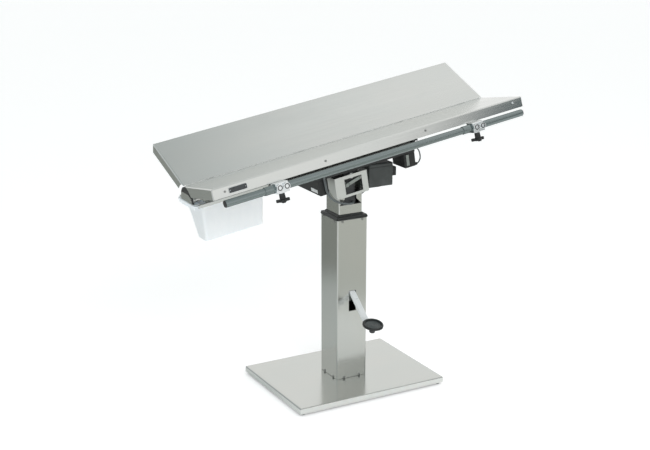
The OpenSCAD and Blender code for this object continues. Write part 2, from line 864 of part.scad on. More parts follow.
module saddle_beam() {
    tongue_w = 24;
    tongue_t = 10;
    color(black) top_frame() difference() {
        union() {
            translate([saddle_x0, -saddle_w / 2, saddle_low]) cube([saddle_l, saddle_w, saddle_h]);
            for (s = [-1, 1]) translate([cross_x, s * tongue_y - tongue_w / 2, saddle_top - tongue_t])
                cube([saddle_x0 - cross_x + cut, tongue_w, tongue_t]);
        }
        translate([saddle_x0 + saddle_wall, -saddle_w / 2 + saddle_wall, saddle_low - cut])
            cube([saddle_l - 2 * saddle_wall, saddle_w - 2 * saddle_wall, saddle_h - saddle_wall + cut]);
        for (s = [-1, 1]) translate([0, s * lock_y, lock_w])
            along_x(lock_stud_r + run_fit, saddle_x1 - 2 * saddle_wall, 4 * saddle_wall);
    }
}

// A housing that hangs from the saddle's lower edge
module pod(x0, y0, l, w, h) {
    color(black) top_frame() translate([x0 + l / 2, y0 + w / 2, saddle_low]) rotate([180, 0, 0])
        folded_block(l, w, h, pod_r);
}

module actuator_housing() {
    pod(saddle_x0, -pod_w / 2 - saddle_wall, actuator_l, pod_w + 2 * saddle_wall, actuator_h);
}

module junction_box() {
    pod(saddle_x1 - junction_l, -saddle_w / 2, junction_l, junction_w, junction_h);
}

module junction_strip() {
    strip_w = 12;
    strip_h = 42;
    strip_t = 3;
    strip_in = 7;
    color(bright) top_frame()
        translate([saddle_x1 - junction_l + strip_in, -saddle_w / 2 - strip_t,
            saddle_low - strip_h - strip_in / 2])
            cube([strip_w, strip_t, strip_h]);
}

module valley_spine() {
    color(steel) top_frame() translate([-spine_l / 2, 0, spine_low]) rotate([90, 0, 90]) {
        linear_extrude(spine_l) difference() {
            spine_half(spine_r);
            spine_half(spine_r - spine_wall);
        }
        for (x = [0, spine_l - spine_wall]) translate([0, 0, x]) linear_extrude(spine_wall)
            intersection() {
                arch_rect(2 * bulkhead_half, spine_r, bulkhead_r);
                translate([-bulkhead_half, 0]) square([2 * bulkhead_half, spine_r]);
            }
    }
}

// Black plates that close the valley behind the ends of the spine
module valley_seals() {
    seal_t = 3;
    seal_x = spine_l / 2 - spine_wall - seat - seal_t;
    color(black) top_frame() for (s = [0, 1]) mirror([s, 0, 0]) translate([seal_x, 0, spine_low])
        rotate([90, 0, 90])
        linear_extrude(seal_t) difference() {
            spine_half(seal_r);
            circle(spine_r + seat);
        }
}

module spine_half(r) {
    difference() {
        circle(r);
        translate([-2 * r, -2 * r]) square([4 * r, 2 * r]);
    }
}

module hinge_lugs() {
    color(steel) top_frame() for (share = hinge_shares)
        translate([share * top_l - hinge_lug_t / 2, 0, 0]) difference() {
        union() {
            translate([0, 0, -hinge_drop]) along_x(knuckle_r, 0, hinge_lug_t);
            translate([0, -knuckle_r, spine_low + sqrt(pow(spine_r, 2) - pow(knuckle_r, 2))])
                cube([hinge_lug_t, 2 * knuckle_r,
                    -hinge_drop - spine_low - sqrt(pow(spine_r, 2) - pow(knuckle_r, 2))]);
        }
        translate([0, 0, -hinge_drop]) along_x(rod_r + run_fit, -cut, hinge_lug_t + 2 * cut);
        translate([0, 0, spine_low]) along_x(spine_r, -cut, hinge_lug_t + 2 * cut);
    }
}

module hinge_rod() {
    rod_end = 25;
    color(bright) top_frame() translate([0, 0, -hinge_drop])
        along_x(rod_r, -top_l / 2 + rod_end, top_l - 2 * rod_end);
}

lock_y = quad_r * cos(lock_angle);
lock_w = -hinge_drop - quad_r * sin(lock_angle);
quad_x = saddle_x1 + quad_gap;

module lock_studs() {
    color(bright) top_frame() for (s = [-1, 1]) translate([0, s * lock_y, lock_w]) {
        along_x(lock_stud_r, saddle_x1 - saddle_wall, quad_gap + quad_t + saddle_wall + lever_t + 2 * seat);
        along_x(lever_hub_r, saddle_x1, quad_gap - seat);
    }
}

// Bucket runners: a channel on each side, hung from the spine on two arms

module bucket_runners() {
    inside = bucket_w / 2 + rim_w + runner_gap;
    top = rim_top + runner_gap + runner_t;
    low = rim_top - rim_t - runner_gap - runner_t;
    x0 = -top_l / 2 + runner_inset;
    length = cross_x - seat - x0;
    arm_l = 24;
    arm_shares = [0.12, 0.85];
    arm_z = top - runner_t;
    arm_y0 = sqrt(pow(spine_r, 2) - pow(arm_z - spine_low, 2)) + seat;
    color(steel) top_frame() {
        for (s = [0, 1]) mirror([0, s, 0]) {
            difference() {
                translate([x0, inside - runner_lap, low]) cube([length, runner_lap + runner_t, top - low]);
                translate([x0 - cut, inside - runner_lap - cut, low + runner_t])
                    cube([length + 2 * cut, runner_lap + cut, top - low - 2 * runner_t]);
            }
            for (share = arm_shares) translate([x0 + share * length, arm_y0, arm_z])
                cube([arm_l, inside - runner_lap - arm_y0 + cut, runner_t]);
        }
        translate([cross_x - seat - cross_t, -inside - runner_t, low])
            cube([cross_t, 2 * (inside + runner_t), spine_low - seat - low]);
    }
}

module tapered_tub(l, w, floor_l, floor_w, h, r) {
    thin = 0.1;
    hull() {
        translate([0, 0, -thin]) linear_extrude(thin) round_rect(l, w, r);
        translate([0, 0, -h]) linear_extrude(thin) round_rect(floor_l, floor_w, r);
    }
}

module drain_bucket() {
    corner_r = 12;
    rim_corner = 15;
    rim_l = bucket_l + 2 * rim_w + rim_pull;
    rim_x = bucket_x0 + bucket_l + rim_w - rim_l / 2;
    t = bucket_wall;
    color(white) top_frame() {
        difference() {
            union() {
                translate([bucket_x0 + bucket_l / 2, 0, rim_top - rim_t + seat])
                    tapered_tub(bucket_l, bucket_w, bucket_floor_l, bucket_floor_w, bucket_h, corner_r,
                        $fn = 32);
                translate([rim_x, 0, rim_top - rim_t]) linear_extrude(rim_t)
                    round_rect(rim_l, bucket_w + 2 * rim_w, rim_corner);
                translate([rim_x - rim_l / 2, -bucket_w / 2 - rim_w + rim_corner,
                    rim_top - rim_t - lip_drop])
                    cube([t, bucket_w + 2 * rim_w - 2 * rim_corner, lip_drop + cut]);
            }
            translate([bucket_x0 + bucket_l / 2, 0, rim_top + t])
                tapered_tub(bucket_l - t, bucket_w - t, bucket_floor_l - 2 * t, bucket_floor_w - 2 * t,
                    bucket_h, corner_r - t, $fn = 32);
        }
    }
}

// Cables, held all the way. Each is a tube along points chosen by hand.
head_cable_r = 4;
head_cable_sides = 10;
head_cable_points = [[-146, -95.3, 31], [-146, -100.5, 31], [-145, -102.5, 26], [-142, -102.5, 18],
    [-139, -102, 4], [-135, -102, -11], [-129, -101, -34], [-116, -98, -54], [-103, -93, -66],
    [-88, -88, -77],
    [-70, -84, -86], [-52, -79, -93], [-28, -71, -100], [-4, -62, -104], [6, -55, -105], [12, -47, -105],
    [14, -42, -104]];
loop_cable_r = 2.5;
loop_cable_sides = 8;
loop_cable_points = [[249.3, -88, -84], [257, -88, -84], [264, -88, -88], [270, -88, -97], [273, -88, -108],
    [274, -88, -120], [272, -88, -131], [266, -88, -140], [257, -88, -145], [249.3, -88, -145]];

module head_cable() {
    color(grey) translate([0, 0, axis_z]) tube(head_cable_points, head_cable_r, head_cable_sides, [0, 0, 1]);
}

module loop_cable() {
    color(grey) top_frame() tube(loop_cable_points, loop_cable_r, loop_cable_sides, [0, 1, 0]);
}

module cable_glands() {
    gland_l = 6;
    gland_wall = 3;
    gland_r = loop_cable_r + gland_wall;
    head_gland_l = 3;
    ends = [loop_cable_points[0], loop_cable_points[len(loop_cable_points) - 1]];
    color(black) {
        top_frame() for (end = ends) translate([saddle_x1, end[1], end[2]]) difference() {
            along_x(gland_r, 0, gland_l);
            along_x(loop_cable_r + seat, -cut, gland_l + 2 * cut);
        }
        translate([head_cable_points[0][0], 0, axis_z + head_cable_points[0][2]]) difference() {
            along_y(head_cable_r + gland_wall, -saddle_w / 2 - seat - head_gland_l, head_gland_l);
            along_y(head_cable_r + seat, -saddle_w / 2 - 2 * gland_l, 3 * gland_l);
        }
    }
}

// Wings

// Half of a wing's pan is cut away at the valley, and its end flanges clear the spine with an arch
module wing(angle) {
    arch_gap = 31;
    arch_r = spine_r + arch_gap;
    arch_drop = spine_low + hinge_drop;
    hem = 12;
    spare = 2 * wing_bend_r;
    lip_end = 14;
    lip_notch = 36;
    difference() {
        translate([0, wing_gap - spare + (wing_w + spare) / 2, wing_low])
            folded_pan(top_l, wing_w + spare, flange_h, wing_bend_r, wing_sheet);
        translate([-top_l, -wing_w + wing_gap, wing_low - cut])
            cube([2 * top_l, wing_w, flange_h + 2 * cut]);
        intersection() {
            translate([0, arch_drop * sin(angle), arch_drop * cos(angle)])
                along_x(arch_r, -top_l, 2 * top_l);
            translate([-top_l, -wing_w, under_panel - wing_w]) cube([2 * top_l, 2 * wing_w, wing_w]);
        }
    }
    translate([-top_l / 2 + wing_sheet, wing_out - wing_sheet - hem, wing_low])
        cube([top_l - 2 * wing_sheet, hem + wing_sheet / 2, wing_sheet]);
    difference() {
        translate([-top_l / 2 + lip_end, wing_gap, valley_lip_n])
            cube([top_l - 2 * lip_end, wing_sheet, under_panel - valley_lip_n + wing_sheet / 2]);
        for (share = hinge_shares) translate([share * top_l - lip_notch / 2, 0, valley_lip_n - cut])
            cube([lip_notch, 2 * wing_out, under_panel - valley_lip_n + cut]);
    }
}

// The leaves of one wing. side = 1 puts its knuckles past the lugs, -1 before them
module hinge_leaves(side) {
    for (share = hinge_shares) {
        x = share * top_l + side * (hinge_lug_t / 2 + hinge_gap + knuckle_l / 2);
        translate([x - knuckle_l / 2, 0, 0]) difference() {
            union() {
                along_x(knuckle_r, 0, knuckle_l);
                translate([0, 0, under_panel - leaf_t]) cube([knuckle_l, leaf_l, leaf_t]);
            }
            along_x(rod_r + run_fit, -cut, knuckle_l + 2 * cut);
        }
    }
}

// A sector between two angles below the panel
module sector(r0, r1, a0, a1) {
    far = 3 * r1;
    intersection() {
        difference() {
            circle(r1, $fn = 128);
            circle(r0, $fn = 128);
        }
        polygon([[0, 0], far * [cos(a0), -sin(a0)], far * [cos(a1), -sin(a1)]]);
    }
}

module quadrant() {
    edge_angle = 7;
    web_y = (quad_r - quad_half) * cos(slot_from - edge_angle);
    web_low = (quad_r + quad_half) * sin(slot_from);
    color(grey) translate([quad_x, 0, 0]) rotate([90, 0, 90]) linear_extrude(quad_t) difference() {
        union() {
            sector(quad_r - quad_half, quad_r + quad_half, slot_from - edge_angle, slot_to + edge_angle);
            translate([web_y, -web_low]) square([quad_web, web_low + under_panel]);
        }
        sector(quad_r - quad_slot_r, quad_r + quad_slot_r, slot_from, slot_to);
        for (a = [slot_from, slot_to]) translate(quad_r * [cos(a), -sin(a)]) circle(quad_slot_r);
    }
}

module rear_wing() {
    color(steel) rear_frame() wing(rear_angle);
}

module rear_hinges() {
    color(steel) rear_frame() hinge_leaves(1);
}

module rear_quadrant() {
    rear_frame() quadrant();
}

flange_screw_inset = 46;
flange_screw_reach = 205;
flange_screw_x = [-top_l / 2 + flange_screw_inset, -flange_screw_reach, flange_screw_reach];
flange_screw_n = -10;
flange_hole_n = -6;
flange_hole_inset = 43;
flange_hole_x = top_l / 2 - flange_hole_inset;
flange_hole_r = 3.5;
flange_screw_r = 2.5;
flange_head_r = 4;
flange_head_h = 2;

module front_wing() {
    color(steel) front_frame() difference() {
        wing(front_angle);
        translate([flange_hole_x, 0, flange_hole_n])
            along_y(flange_hole_r, wing_out - 3 * wing_sheet, 6 * wing_sheet);
        for (x = flange_screw_x) translate([x, 0, flange_screw_n])
            along_y(flange_screw_r + run_fit, wing_out - 3 * wing_sheet, 6 * wing_sheet);
    }
}

module front_screws() {
    shank = 3 * wing_sheet;
    color(grey) front_frame() for (x = flange_screw_x) translate([x, 0, flange_screw_n]) {
        along_y(flange_screw_r, wing_out - shank, shank);
        along_y(flange_head_r, wing_out, flange_head_h);
        along_y(flange_head_r, wing_out - wing_sheet - flange_head_h, flange_head_h);
    }
}

module front_hinges() {
    color(steel) front_frame() hinge_leaves(-1);
}

module front_quadrant() {
    front_frame() quadrant();
}

module name_plate() {
    plate_l = 68;
    plate_h = 20;
    plate_t = 1.5;
    plate_r = 5;
    plate_inset = 94;
    plate_x = plate_inset - top_l / 2;
    plate_n = -11;
    color(grey) front_frame() translate([plate_x, wing_out + plate_t, plate_n]) rotate([90, 0, 0])
        linear_extrude(plate_t) round_rect(plate_l, plate_h, plate_r);
}

// Accessory rail and its holders

// A holder hangs from the front wing's hem: a lipped plate, a split block and a sleeve round the rail
module rail_holder(x) {
    tab_w = 10;
    top_e0 = wing_out - wing_sheet - tab_w;
    block_w = 2 * (rail_r + holder_wall);
    front_e = rail_e + block_w / 2;
    block_n = rail_n - rail_r - holder_under;
    edge_r = 4;
    front_frame() translate([rail_shift + x, 0, 0]) difference() {
        union() {
            translate([-holder_l / 2, top_e0, wing_low - seat - holder_lip])
                cube([holder_l, front_e - edge_r - top_e0, holder_lip]);
            translate([-holder_l / 2, rail_e, block_n]) rotate([90, 0, 90]) linear_extrude(holder_l)
                arch_rect(block_w, wing_low - seat - block_n, edge_r);
            translate([-holder_l / 2 - sleeve_l, rail_e, rail_n])
                along_x(rail_r + sleeve_wall, 0, sleeve_l + cut);
            translate([0, rail_e, block_n - clamp_lip_h]) cylinder(r = boss_r, h = clamp_lip_h + cut);
        }
        translate([0, rail_e, rail_n]) along_x(rail_r + run_fit, -2 * holder_l, 4 * holder_l);
        translate([0, rail_e, block_n - 2 * clamp_lip_h])
            cylinder(r = stud_knob_r + run_fit, h = rail_r + holder_under + 2 * clamp_lip_h);
    }
}

module left_rail_holder() {
    color(bright) rail_holder(-holder_x);
}

module right_rail_holder() {
    color(bright) rail_holder(holder_x);
}

// Two round bosses on the front face of each holder, each with a recessed ring and a domed middle
module holder_bosses() {
    front_e = rail_e + rail_r + holder_wall;
    ring_w = 3.5;
    recess = 4;
    dome_r = boss_r - 2 * ring_w + 1;
    color(grey) front_frame() for (x = [-holder_x, holder_x], s = [-1, 1])
        translate([rail_shift + x + s * boss_step / 2, 0, rail_n + 2]) {
            difference() {
                along_y(boss_r, front_e, boss_h);
                along_y(boss_r - ring_w, front_e + boss_h - recess, recess + cut);
            }
            along_y(dome_r, front_e + boss_h - recess - cut, recess + cut);
        }
}

// A knob with three lobes on a threaded stud that comes up against the rail
module clamp_knob(x) {
    knob_hub_r = 10;
    hub_h = 20;
    lobe_h = 10;
    lobe_r = 7;
    knob_gap = 1;
    lobe_turn = -10;
    web_w = 10;
    knob_flare = 2;
    hub_top = rail_n - rail_r - holder_under - clamp_lip_h - knob_gap;
    lobe_y = knob_d / 2 - lobe_r;
    color(black) front_frame() translate([rail_shift + x, rail_e, 0]) {
        translate([0, 0, hub_top - cut])
            cylinder(r = stud_knob_r, h = rail_n - rail_r - seat - hub_top + cut);
        translate([0, 0, hub_top - hub_h])
            cylinder(r1 = knob_hub_r + knob_flare / 2, r2 = knob_hub_r, h = hub_h);
        translate([0, 0, hub_top - hub_h - lobe_h]) linear_extrude(lobe_h) {
            circle(knob_hub_r + knob_flare);
            for (a = [0:120:240]) rotate(lobe_turn + a) {
                translate([lobe_y, 0]) circle(lobe_r);
                translate([0, -web_w / 2]) square([lobe_y, web_w]);
            }
        }
    }
}

module left_knob() {
    clamp_knob(-holder_x);
}

module right_knob() {
    clamp_knob(holder_x);
}

module accessory_rail() {
    tube_l = rail_l - 2 * cap_t;
    color("#8d9797") front_frame() translate([rail_shift, rail_e, rail_n]) difference() {
        along_x(rail_r, -tube_l / 2, tube_l);
        along_x(rail_r - rail_wall, -tube_l, 2 * tube_l);
    }
}

module rail_caps() {
    color(black) front_frame() translate([rail_shift, rail_e, rail_n]) for (s = [0, 1]) mirror([s, 0, 0]) {
        translate([rail_l / 2 - cap_t, 0, 0]) rotate([0, 90, 0])
            cylinder(r1 = rail_r, r2 = rail_r - cap_t / 2, h = cap_t);
        along_x(rail_r - rail_wall - run_fit, rail_l / 2 - cap_t - cap_spigot, cap_spigot + cut);
    }
}

// Lock levers on the saddle's studs

module lock_lever(s) {
    x0 = quad_x + quad_t + seat;
    color(black) top_frame() translate([x0, s * lock_y, lock_w]) difference() {
        union() {
            along_x(lever_hub_r, 0, lever_t);
            translate([0, s > 0 ? -lever_l : 0, -lever_w / 2]) cube([lever_t, lever_l, lever_w]);
            translate([0, -s * lever_l, 0]) along_x(lever_w / 2, 0, lever_t);
        }
        along_x(lock_stud_r + run_fit, -cut, lever_t + 2 * cut);
    }
}

module rear_lever() {
    lock_lever(1);
}

module front_lever() {
    lock_lever(-1);
}

base_cover();
base_weight();
levelling_feet();
outer_column();
column_foot_frame();
column_screws();
column_collar();
hydraulic_cylinder();
pump_block();
pedal_pin();
pedal_arm();
pedal_pad();
pad_nut();
inner_column();
lower_guides();
hydraulic_ram();
pivot_bracket();
pivot_bushes();
link_stud();
box_bracket();
control_box();
control_box_latch();
tilt_shaft();
shaft_collars();
tilt_lugs();
head_cover();
tilt_link();
link_pin();
saddle_beam();
actuator_housing();
junction_box();
junction_strip();
valley_spine();
valley_seals();
hinge_lugs();
hinge_rod();
lock_studs();
bucket_runners();
head_cable();
loop_cable();
cable_glands();
rear_wing();
rear_hinges();
rear_quadrant();
front_wing();
front_hinges();
front_quadrant();
front_screws();
name_plate();
left_rail_holder();
right_rail_holder();
holder_bosses();
left_knob();
right_knob();
accessory_rail();
rail_caps();
rear_lever();
front_lever();
drain_bucket();
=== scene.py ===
import json
import math
import bpy
import bmesh
from mathutils import Vector, Matrix
from mathutils.bvhtree import BVHTree


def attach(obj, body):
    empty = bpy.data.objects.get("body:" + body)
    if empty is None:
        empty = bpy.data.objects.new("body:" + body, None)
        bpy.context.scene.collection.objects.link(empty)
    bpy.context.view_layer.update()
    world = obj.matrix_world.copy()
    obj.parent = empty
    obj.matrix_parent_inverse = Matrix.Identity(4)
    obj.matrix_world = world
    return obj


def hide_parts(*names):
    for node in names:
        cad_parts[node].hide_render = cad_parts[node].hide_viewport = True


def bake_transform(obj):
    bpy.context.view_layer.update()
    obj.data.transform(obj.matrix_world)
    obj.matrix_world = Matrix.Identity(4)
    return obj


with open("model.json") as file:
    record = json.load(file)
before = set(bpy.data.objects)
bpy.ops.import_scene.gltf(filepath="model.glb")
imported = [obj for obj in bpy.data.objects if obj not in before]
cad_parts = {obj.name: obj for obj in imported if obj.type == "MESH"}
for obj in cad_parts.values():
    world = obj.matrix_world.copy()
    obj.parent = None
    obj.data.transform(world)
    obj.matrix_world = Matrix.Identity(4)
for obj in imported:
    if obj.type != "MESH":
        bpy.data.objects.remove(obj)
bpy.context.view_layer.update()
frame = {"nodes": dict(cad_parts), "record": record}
nodes = frame["nodes"]
print("frame loaded, CAD pieces:", len(nodes))

# lengths are metres and angles degrees; the top's own axes: x runs up along the valley, z square to it
table = {
    "tilt": 9.0,
    "axisHeight": 0.822,
    "topShift": 0.006,
    "valleyHeight": 0.1265,
    "hingeDrop": 0.009,
    "frontAngle": 10.5,
    "rearAngle": 25.0,
}

tiltTurn = Matrix.Rotation(-math.radians(table["tilt"]), 4, "Y")
headPlace = Matrix.Translation((0, 0, table["axisHeight"])) @ tiltTurn
topPlace = headPlace @ Matrix.Translation((table["topShift"], 0, table["valleyHeight"]))


def wingPlace(side):
    # side -1 is the front wing, 1 the rear one; y runs out along the panel, z square to it
    angle = table["frontAngle"] if side < 0 else table["rearAngle"]
    hinge = topPlace @ Matrix.Translation((0, 0, -table["hingeDrop"]))
    return hinge @ Matrix.Diagonal((1, side, 1, 1)) @ Matrix.Rotation(math.radians(angle), 4, "X")


def newObject(name, data):
    made = bpy.data.objects.new(name, data)
    bpy.context.scene.collection.objects.link(made)
    return made


def aim(item, place, target):
    item.location = place
    item.rotation_euler = (Vector(target) - Vector(place)).to_track_quat("-Z", "Y").to_euler()


# camera
view = {
    "place": (-2.2596, -3.9356, 1.9443),
    "target": (-0.0809, 0.0, 0.6307),
    "widthAngle": 28.84,
    "farEnd": 60,
}

camera = newObject("camera", bpy.data.cameras.new("camera"))
aim(camera, view["place"], view["target"])
camera.data.sensor_fit = "HORIZONTAL"
camera.data.angle = math.radians(view["widthAngle"])
camera.data.clip_end = view["farEnd"]
bpy.context.scene.camera = camera
print("camera placed")


# materials
def wire(tree, kind, inputs=None, **settings):
    node = tree.nodes.new(kind)
    for key, value in settings.items():
        setattr(node, key, value)
    for key, value in (inputs or {}).items():
        if isinstance(value, bpy.types.NodeSocket):
            tree.links.new(value, node.inputs[key])
        else:
            node.inputs[key].default_value = value
    return node


def multiplied(tree, first, second):
    return wire(tree, "ShaderNodeMath", {0: first, 1: second}, operation="MULTIPLY").outputs[0]


def ranged(tree, value, low, high, fromLow=0.3, fromHigh=0.7):
    return wire(tree, "ShaderNodeMapRange", {"Value": value, "From Min": fromLow, "From Max": fromHigh,
                                             "To Min": low, "To Max": high}).outputs["Result"]


def blendColors(tree, factor, first, second):
    mix = wire(tree, "ShaderNodeMix", {0: factor}, data_type="RGBA")
    inputs = [socket for socket in mix.inputs if socket.type == "RGBA"]
    for socket, color in zip(inputs, (first, second)):
        if isinstance(color, bpy.types.NodeSocket):
            tree.links.new(color, socket)
        else:
            socket.default_value = (*color, 1)
    return [socket for socket in mix.outputs if socket.type == "RGBA"][0]


def scaled(color, factor, lift=0.0):
    return tuple(min(1, c * factor + lift) for c in color)


def objectPlace(tree):
    return wire(tree, "ShaderNodeTexCoord").outputs["Object"]


def pattern(tree, shape, turn=(0, 0, 0)):
    # noise on the object's own coordinates, first turned and then stretched
    radians = tuple(math.radians(angle) for angle in turn)
    turned = wire(tree, "ShaderNodeMapping", {"Vector": objectPlace(tree), "Rotation": radians})
    stretched = wire(tree, "ShaderNodeMapping", {"Vector": turned.outputs["Vector"],
                                                 "Scale": shape.get("stretch", (1, 1, 1))})
    return wire(tree, "ShaderNodeTexNoise", {"Vector": stretched.outputs["Vector"], "Scale": shape["scale"],
                                             "Detail": shape["detail"], "Roughness": shape["uneven"]}).outputs["Fac"]


def edgeMask(tree):
    return wire(tree, "ShaderNodeAttribute", attribute_name="edgeWear").outputs["Fac"]


def startMaterial(name, roughness, metallic=0.0):
    material = bpy.data.materials.new(name)
    material.use_nodes = True
    tree = material.node_tree
    shader = tree.nodes["Principled BSDF"]
    shader.inputs["Roughness"].default_value = roughness
    shader.inputs["Metallic"].default_value = metallic
    return material, tree, shader


def spreadRoughness(tree, shader, value, middle, spread, *ends):
    rough = ranged(tree, value, middle + spread[0], middle + spread[1], *ends)
    tree.links.new(rough, shader.inputs["Roughness"])


def addBump(tree, shader, height, strength, depth):
    bump = wire(tree, "ShaderNodeBump", {"Height": height, "Strength": strength, "Distance": depth})
    tree.links.new(bump.outputs["Normal"], shader.inputs["Normal"])


steel = {
    "grain": {"stretch": (1.6, 240, 240), "scale": 3.2, "detail": 5.0, "uneven": 0.65},
    "longGrain": {"stretch": (0.5, 60, 60), "scale": 2.0, "detail": 3.0, "uneven": 0.6},
    "cloud": {"stretch": (1, 2.2, 2.2), "scale": 3.5, "detail": 2.0, "uneven": 0.5},
    "smudge": {"scale": 9.0, "detail": 4.0, "uneven": 0.62},
    "smudgeTurn": (0, 0, 30),
    "smudgeEnds": (0.55, 0.8),
    "cool": (0.95, 0.985, 1.0),
    "rubbed": (0.9, 0.91, 0.91),
    "wear": (0.15, 0.8),
    "bumpDepth": 0.0004,
}


def brushedSteel(name, look):
    # grain runs along x after the turn; streaks, cloudy tone, rubbed edges and faint smudges
    material, tree, shader = startMaterial(name, look["rough"], look["metal"])
    grain, longGrain, cloud = (pattern(tree, steel[kind], look["turn"]) for kind in ("grain", "longGrain", "cloud"))
    smudge = pattern(tree, steel["smudge"], steel["smudgeTurn"])
    dark, light = scaled(look["color"], 1 - look["streak"]), scaled(look["color"], 1 + look["streak"])
    streaks = blendColors(tree, ranged(tree, grain, 0, 1), dark, light)
    cool = tuple(c * share for c, share in zip(look["color"], steel["cool"]))
    tone = blendColors(tree, ranged(tree, cloud, 0, look["cloud"]), streaks, cool)
    worn = multiplied(tree, edgeMask(tree), ranged(tree, smudge, *steel["wear"]))
    tree.links.new(blendColors(tree, worn, tone, steel["rubbed"]), shader.inputs["Base Color"])
    brushed = ranged(tree, longGrain, look["rough"] - look["vary"], look["rough"] + look["vary"])
    marks = ranged(tree, smudge, 0, look["smudge"], *steel["smudgeEnds"])
    marked = wire(tree, "ShaderNodeMath", {0: brushed, 1: marks}, operation="ADD")
    tree.links.new(marked.outputs[0], shader.inputs["Roughness"])
    shader.inputs["Anisotropic"].default_value = look["anisotropy"]
    addBump(tree, shader, grain, look["bump"], steel["bumpDepth"])
    return material


paint = {
    "peel": {"detail": 3.0, "uneven": 0.55},
    "cloud": {"scale": 14.0, "detail": 3.0, "uneven": 0.6},
    "wearEnds": (0.4, 0.65),
    "lighter": 1.35,
    "lift": 0.01,
    "roughSpread": (-0.06, 0.08),
    "bumpDepth": 0.0004,
}


def paintedMetal(name, look):
    # orange-peel coat, dull in the hollows, rubbed on the edges
    material, tree, shader = startMaterial(name, look["rough"])
    peel = pattern(tree, {**paint["peel"], "scale": look["peel"]})
    cloud = pattern(tree, paint["cloud"])
    worn = multiplied(tree, edgeMask(tree), ranged(tree, cloud, 0, look["wear"], *paint["wearEnds"]))
    light = scaled(look["color"], paint["lighter"], paint["lift"])
    tone = blendColors(tree, ranged(tree, cloud, 0, 1), look["color"], light)
    tree.links.new(blendColors(tree, worn, tone, look["under"]), shader.inputs["Base Color"])
    spreadRoughness(tree, shader, cloud, look["rough"], paint["roughSpread"])
    addBump(tree, shader, peel, look["bump"], paint["bumpDepth"])
    return material


plastic = {
    "grain": {"detail": 2.0, "uneven": 0.5},
    "cloud": {"scale": 22.0, "detail": 3.0, "uneven": 0.6},
    "darkBelow": 0.2,
    "darkLighter": 1.5,
    "paleLighter": 1.04,
    "lift": 0.006,
    "rubbedLift": 0.02,
    "wear": 0.35,
    "roughSpread": (-0.05, 0.1),
    "bumpDepth": 0.0002,
}


def mouldedPlastic(name, look):
    # fine grain, rubbed edges and a cloudy tone, which is fainter on a pale plastic
    material, tree, shader = startMaterial(name, look["rough"])
    grain = pattern(tree, {**plastic["grain"], "scale": look["grain"]})
    cloud = pattern(tree, plastic["cloud"])
    worn = multiplied(tree, edgeMask(tree), plastic["wear"])
    lighter = plastic["darkLighter"] if max(look["color"]) < plastic["darkBelow"] else plastic["paleLighter"]
    light = scaled(look["color"], lighter, plastic["lift"])
    rubbed = scaled(look["color"], 2 * lighter, plastic["rubbedLift"])
    tone = blendColors(tree, ranged(tree, cloud, 0, 1), look["color"], light)
    tree.links.new(blendColors(tree, worn, tone, rubbed), shader.inputs["Base Color"])
    spreadRoughness(tree, shader, cloud, look["rough"], plastic["roughSpread"])
    addBump(tree, shader, grain, look["bump"], plastic["bumpDepth"])
    return material


milky = {
    "flow": {"stretch": (22, 22, 2), "scale": 2.5, "detail": 3.0, "uneven": 0.55},
    "scuff": {"stretch": (30, 2, 30), "scale": 6.0, "detail": 5.0, "uneven": 0.7},
    "scuffTurn": (0, 0, 40),
    "scuffEnds": (0.45, 0.75),
    "roughSpread": (0, 0.22),
    "glow": 0.45,
    "glowRadius": (0.012, 0.013, 0.014),
    "ior": 1.45,
    "gloss": 0.3,
    "bump": 0.06,
    "bumpDepth": 0.0006,
}


def bucketPlastic(name, look):
    # milky polypropylene: light passes through a little, with faint vertical flow marks and scuffs
    material, tree, shader = startMaterial(name, look["rough"])
    flow = pattern(tree, milky["flow"], (0, table["tilt"], 0))
    scuff = pattern(tree, milky["scuff"], milky["scuffTurn"])
    tone = blendColors(tree, ranged(tree, flow, 0, 1), look["shade"], look["color"])
    tree.links.new(tone, shader.inputs["Base Color"])
    spreadRoughness(tree, shader, scuff, look["rough"], milky["roughSpread"], *milky["scuffEnds"])
    shader.inputs["Subsurface Weight"].default_value = milky["glow"]
    shader.inputs["Subsurface Radius"].default_value = milky["glowRadius"]
    shader.inputs["Subsurface Scale"].default_value = 1.0
    shader.inputs["IOR"].default_value = milky["ior"]
    shader.inputs["Specular IOR Level"].default_value = milky["gloss"]
    addBump(tree, shader, flow, milky["bump"], milky["bumpDepth"])
    return material


tread = {
    "scuff": {"stretch": (1, 3, 1), "scale": 34.0, "detail": 4.0, "uneven": 0.62},
    "scuffTurn": (0, 0, 25),
    "grain": {"scale": 900, "detail": 2.0, "uneven": 0.5},
    "hollow": 0.55,
    "roughSpread": (-0.08, 0.12),
    "bump": 0.25,
    "bumpDepth": 0.0002,
}


def padRubber(name, look):
    # black at the rim and a lighter streaky grey on the floor, by the distance from the pad's own axis; the lighter
    # floor is a painted sheen
    material, tree, shader = startMaterial(name, look["rough"])
    offset = wire(tree, "ShaderNodeVectorMath", {0: objectPlace(tree), 1: look["middle"]}, operation="SUBTRACT")
    upended = wire(tree, "ShaderNodeMapping", {"Vector": offset.outputs["Vector"],
                                               "Rotation": (math.radians(-look["lean"]), 0, 0)})
    flat = wire(tree, "ShaderNodeVectorMath", {0: upended.outputs["Vector"], 1: (1, 1, 0)}, operation="MULTIPLY")
    radius = wire(tree, "ShaderNodeVectorMath", {0: flat.outputs["Vector"]}, operation="LENGTH").outputs["Value"]
    scuff = pattern(tree, tread["scuff"], tread["scuffTurn"])
    grain = pattern(tree, tread["grain"])
    # the pad's floor is painted a lighter grey with streaks: painted sheen
    worn = blendColors(tree, ranged(tree, scuff, 0, 1), scaled(look["floor"], tread["hollow"]), look["floor"])
    rim = ranged(tree, radius, 0, 1, *look["edge"])
    tree.links.new(blendColors(tree, rim, worn, look["rim"]), shader.inputs["Base Color"])
    spreadRoughness(tree, shader, scuff, look["rough"], tread["roughSpread"])
    addBump(tree, shader, grain, tread["bump"], tread["bumpDepth"])
    return material


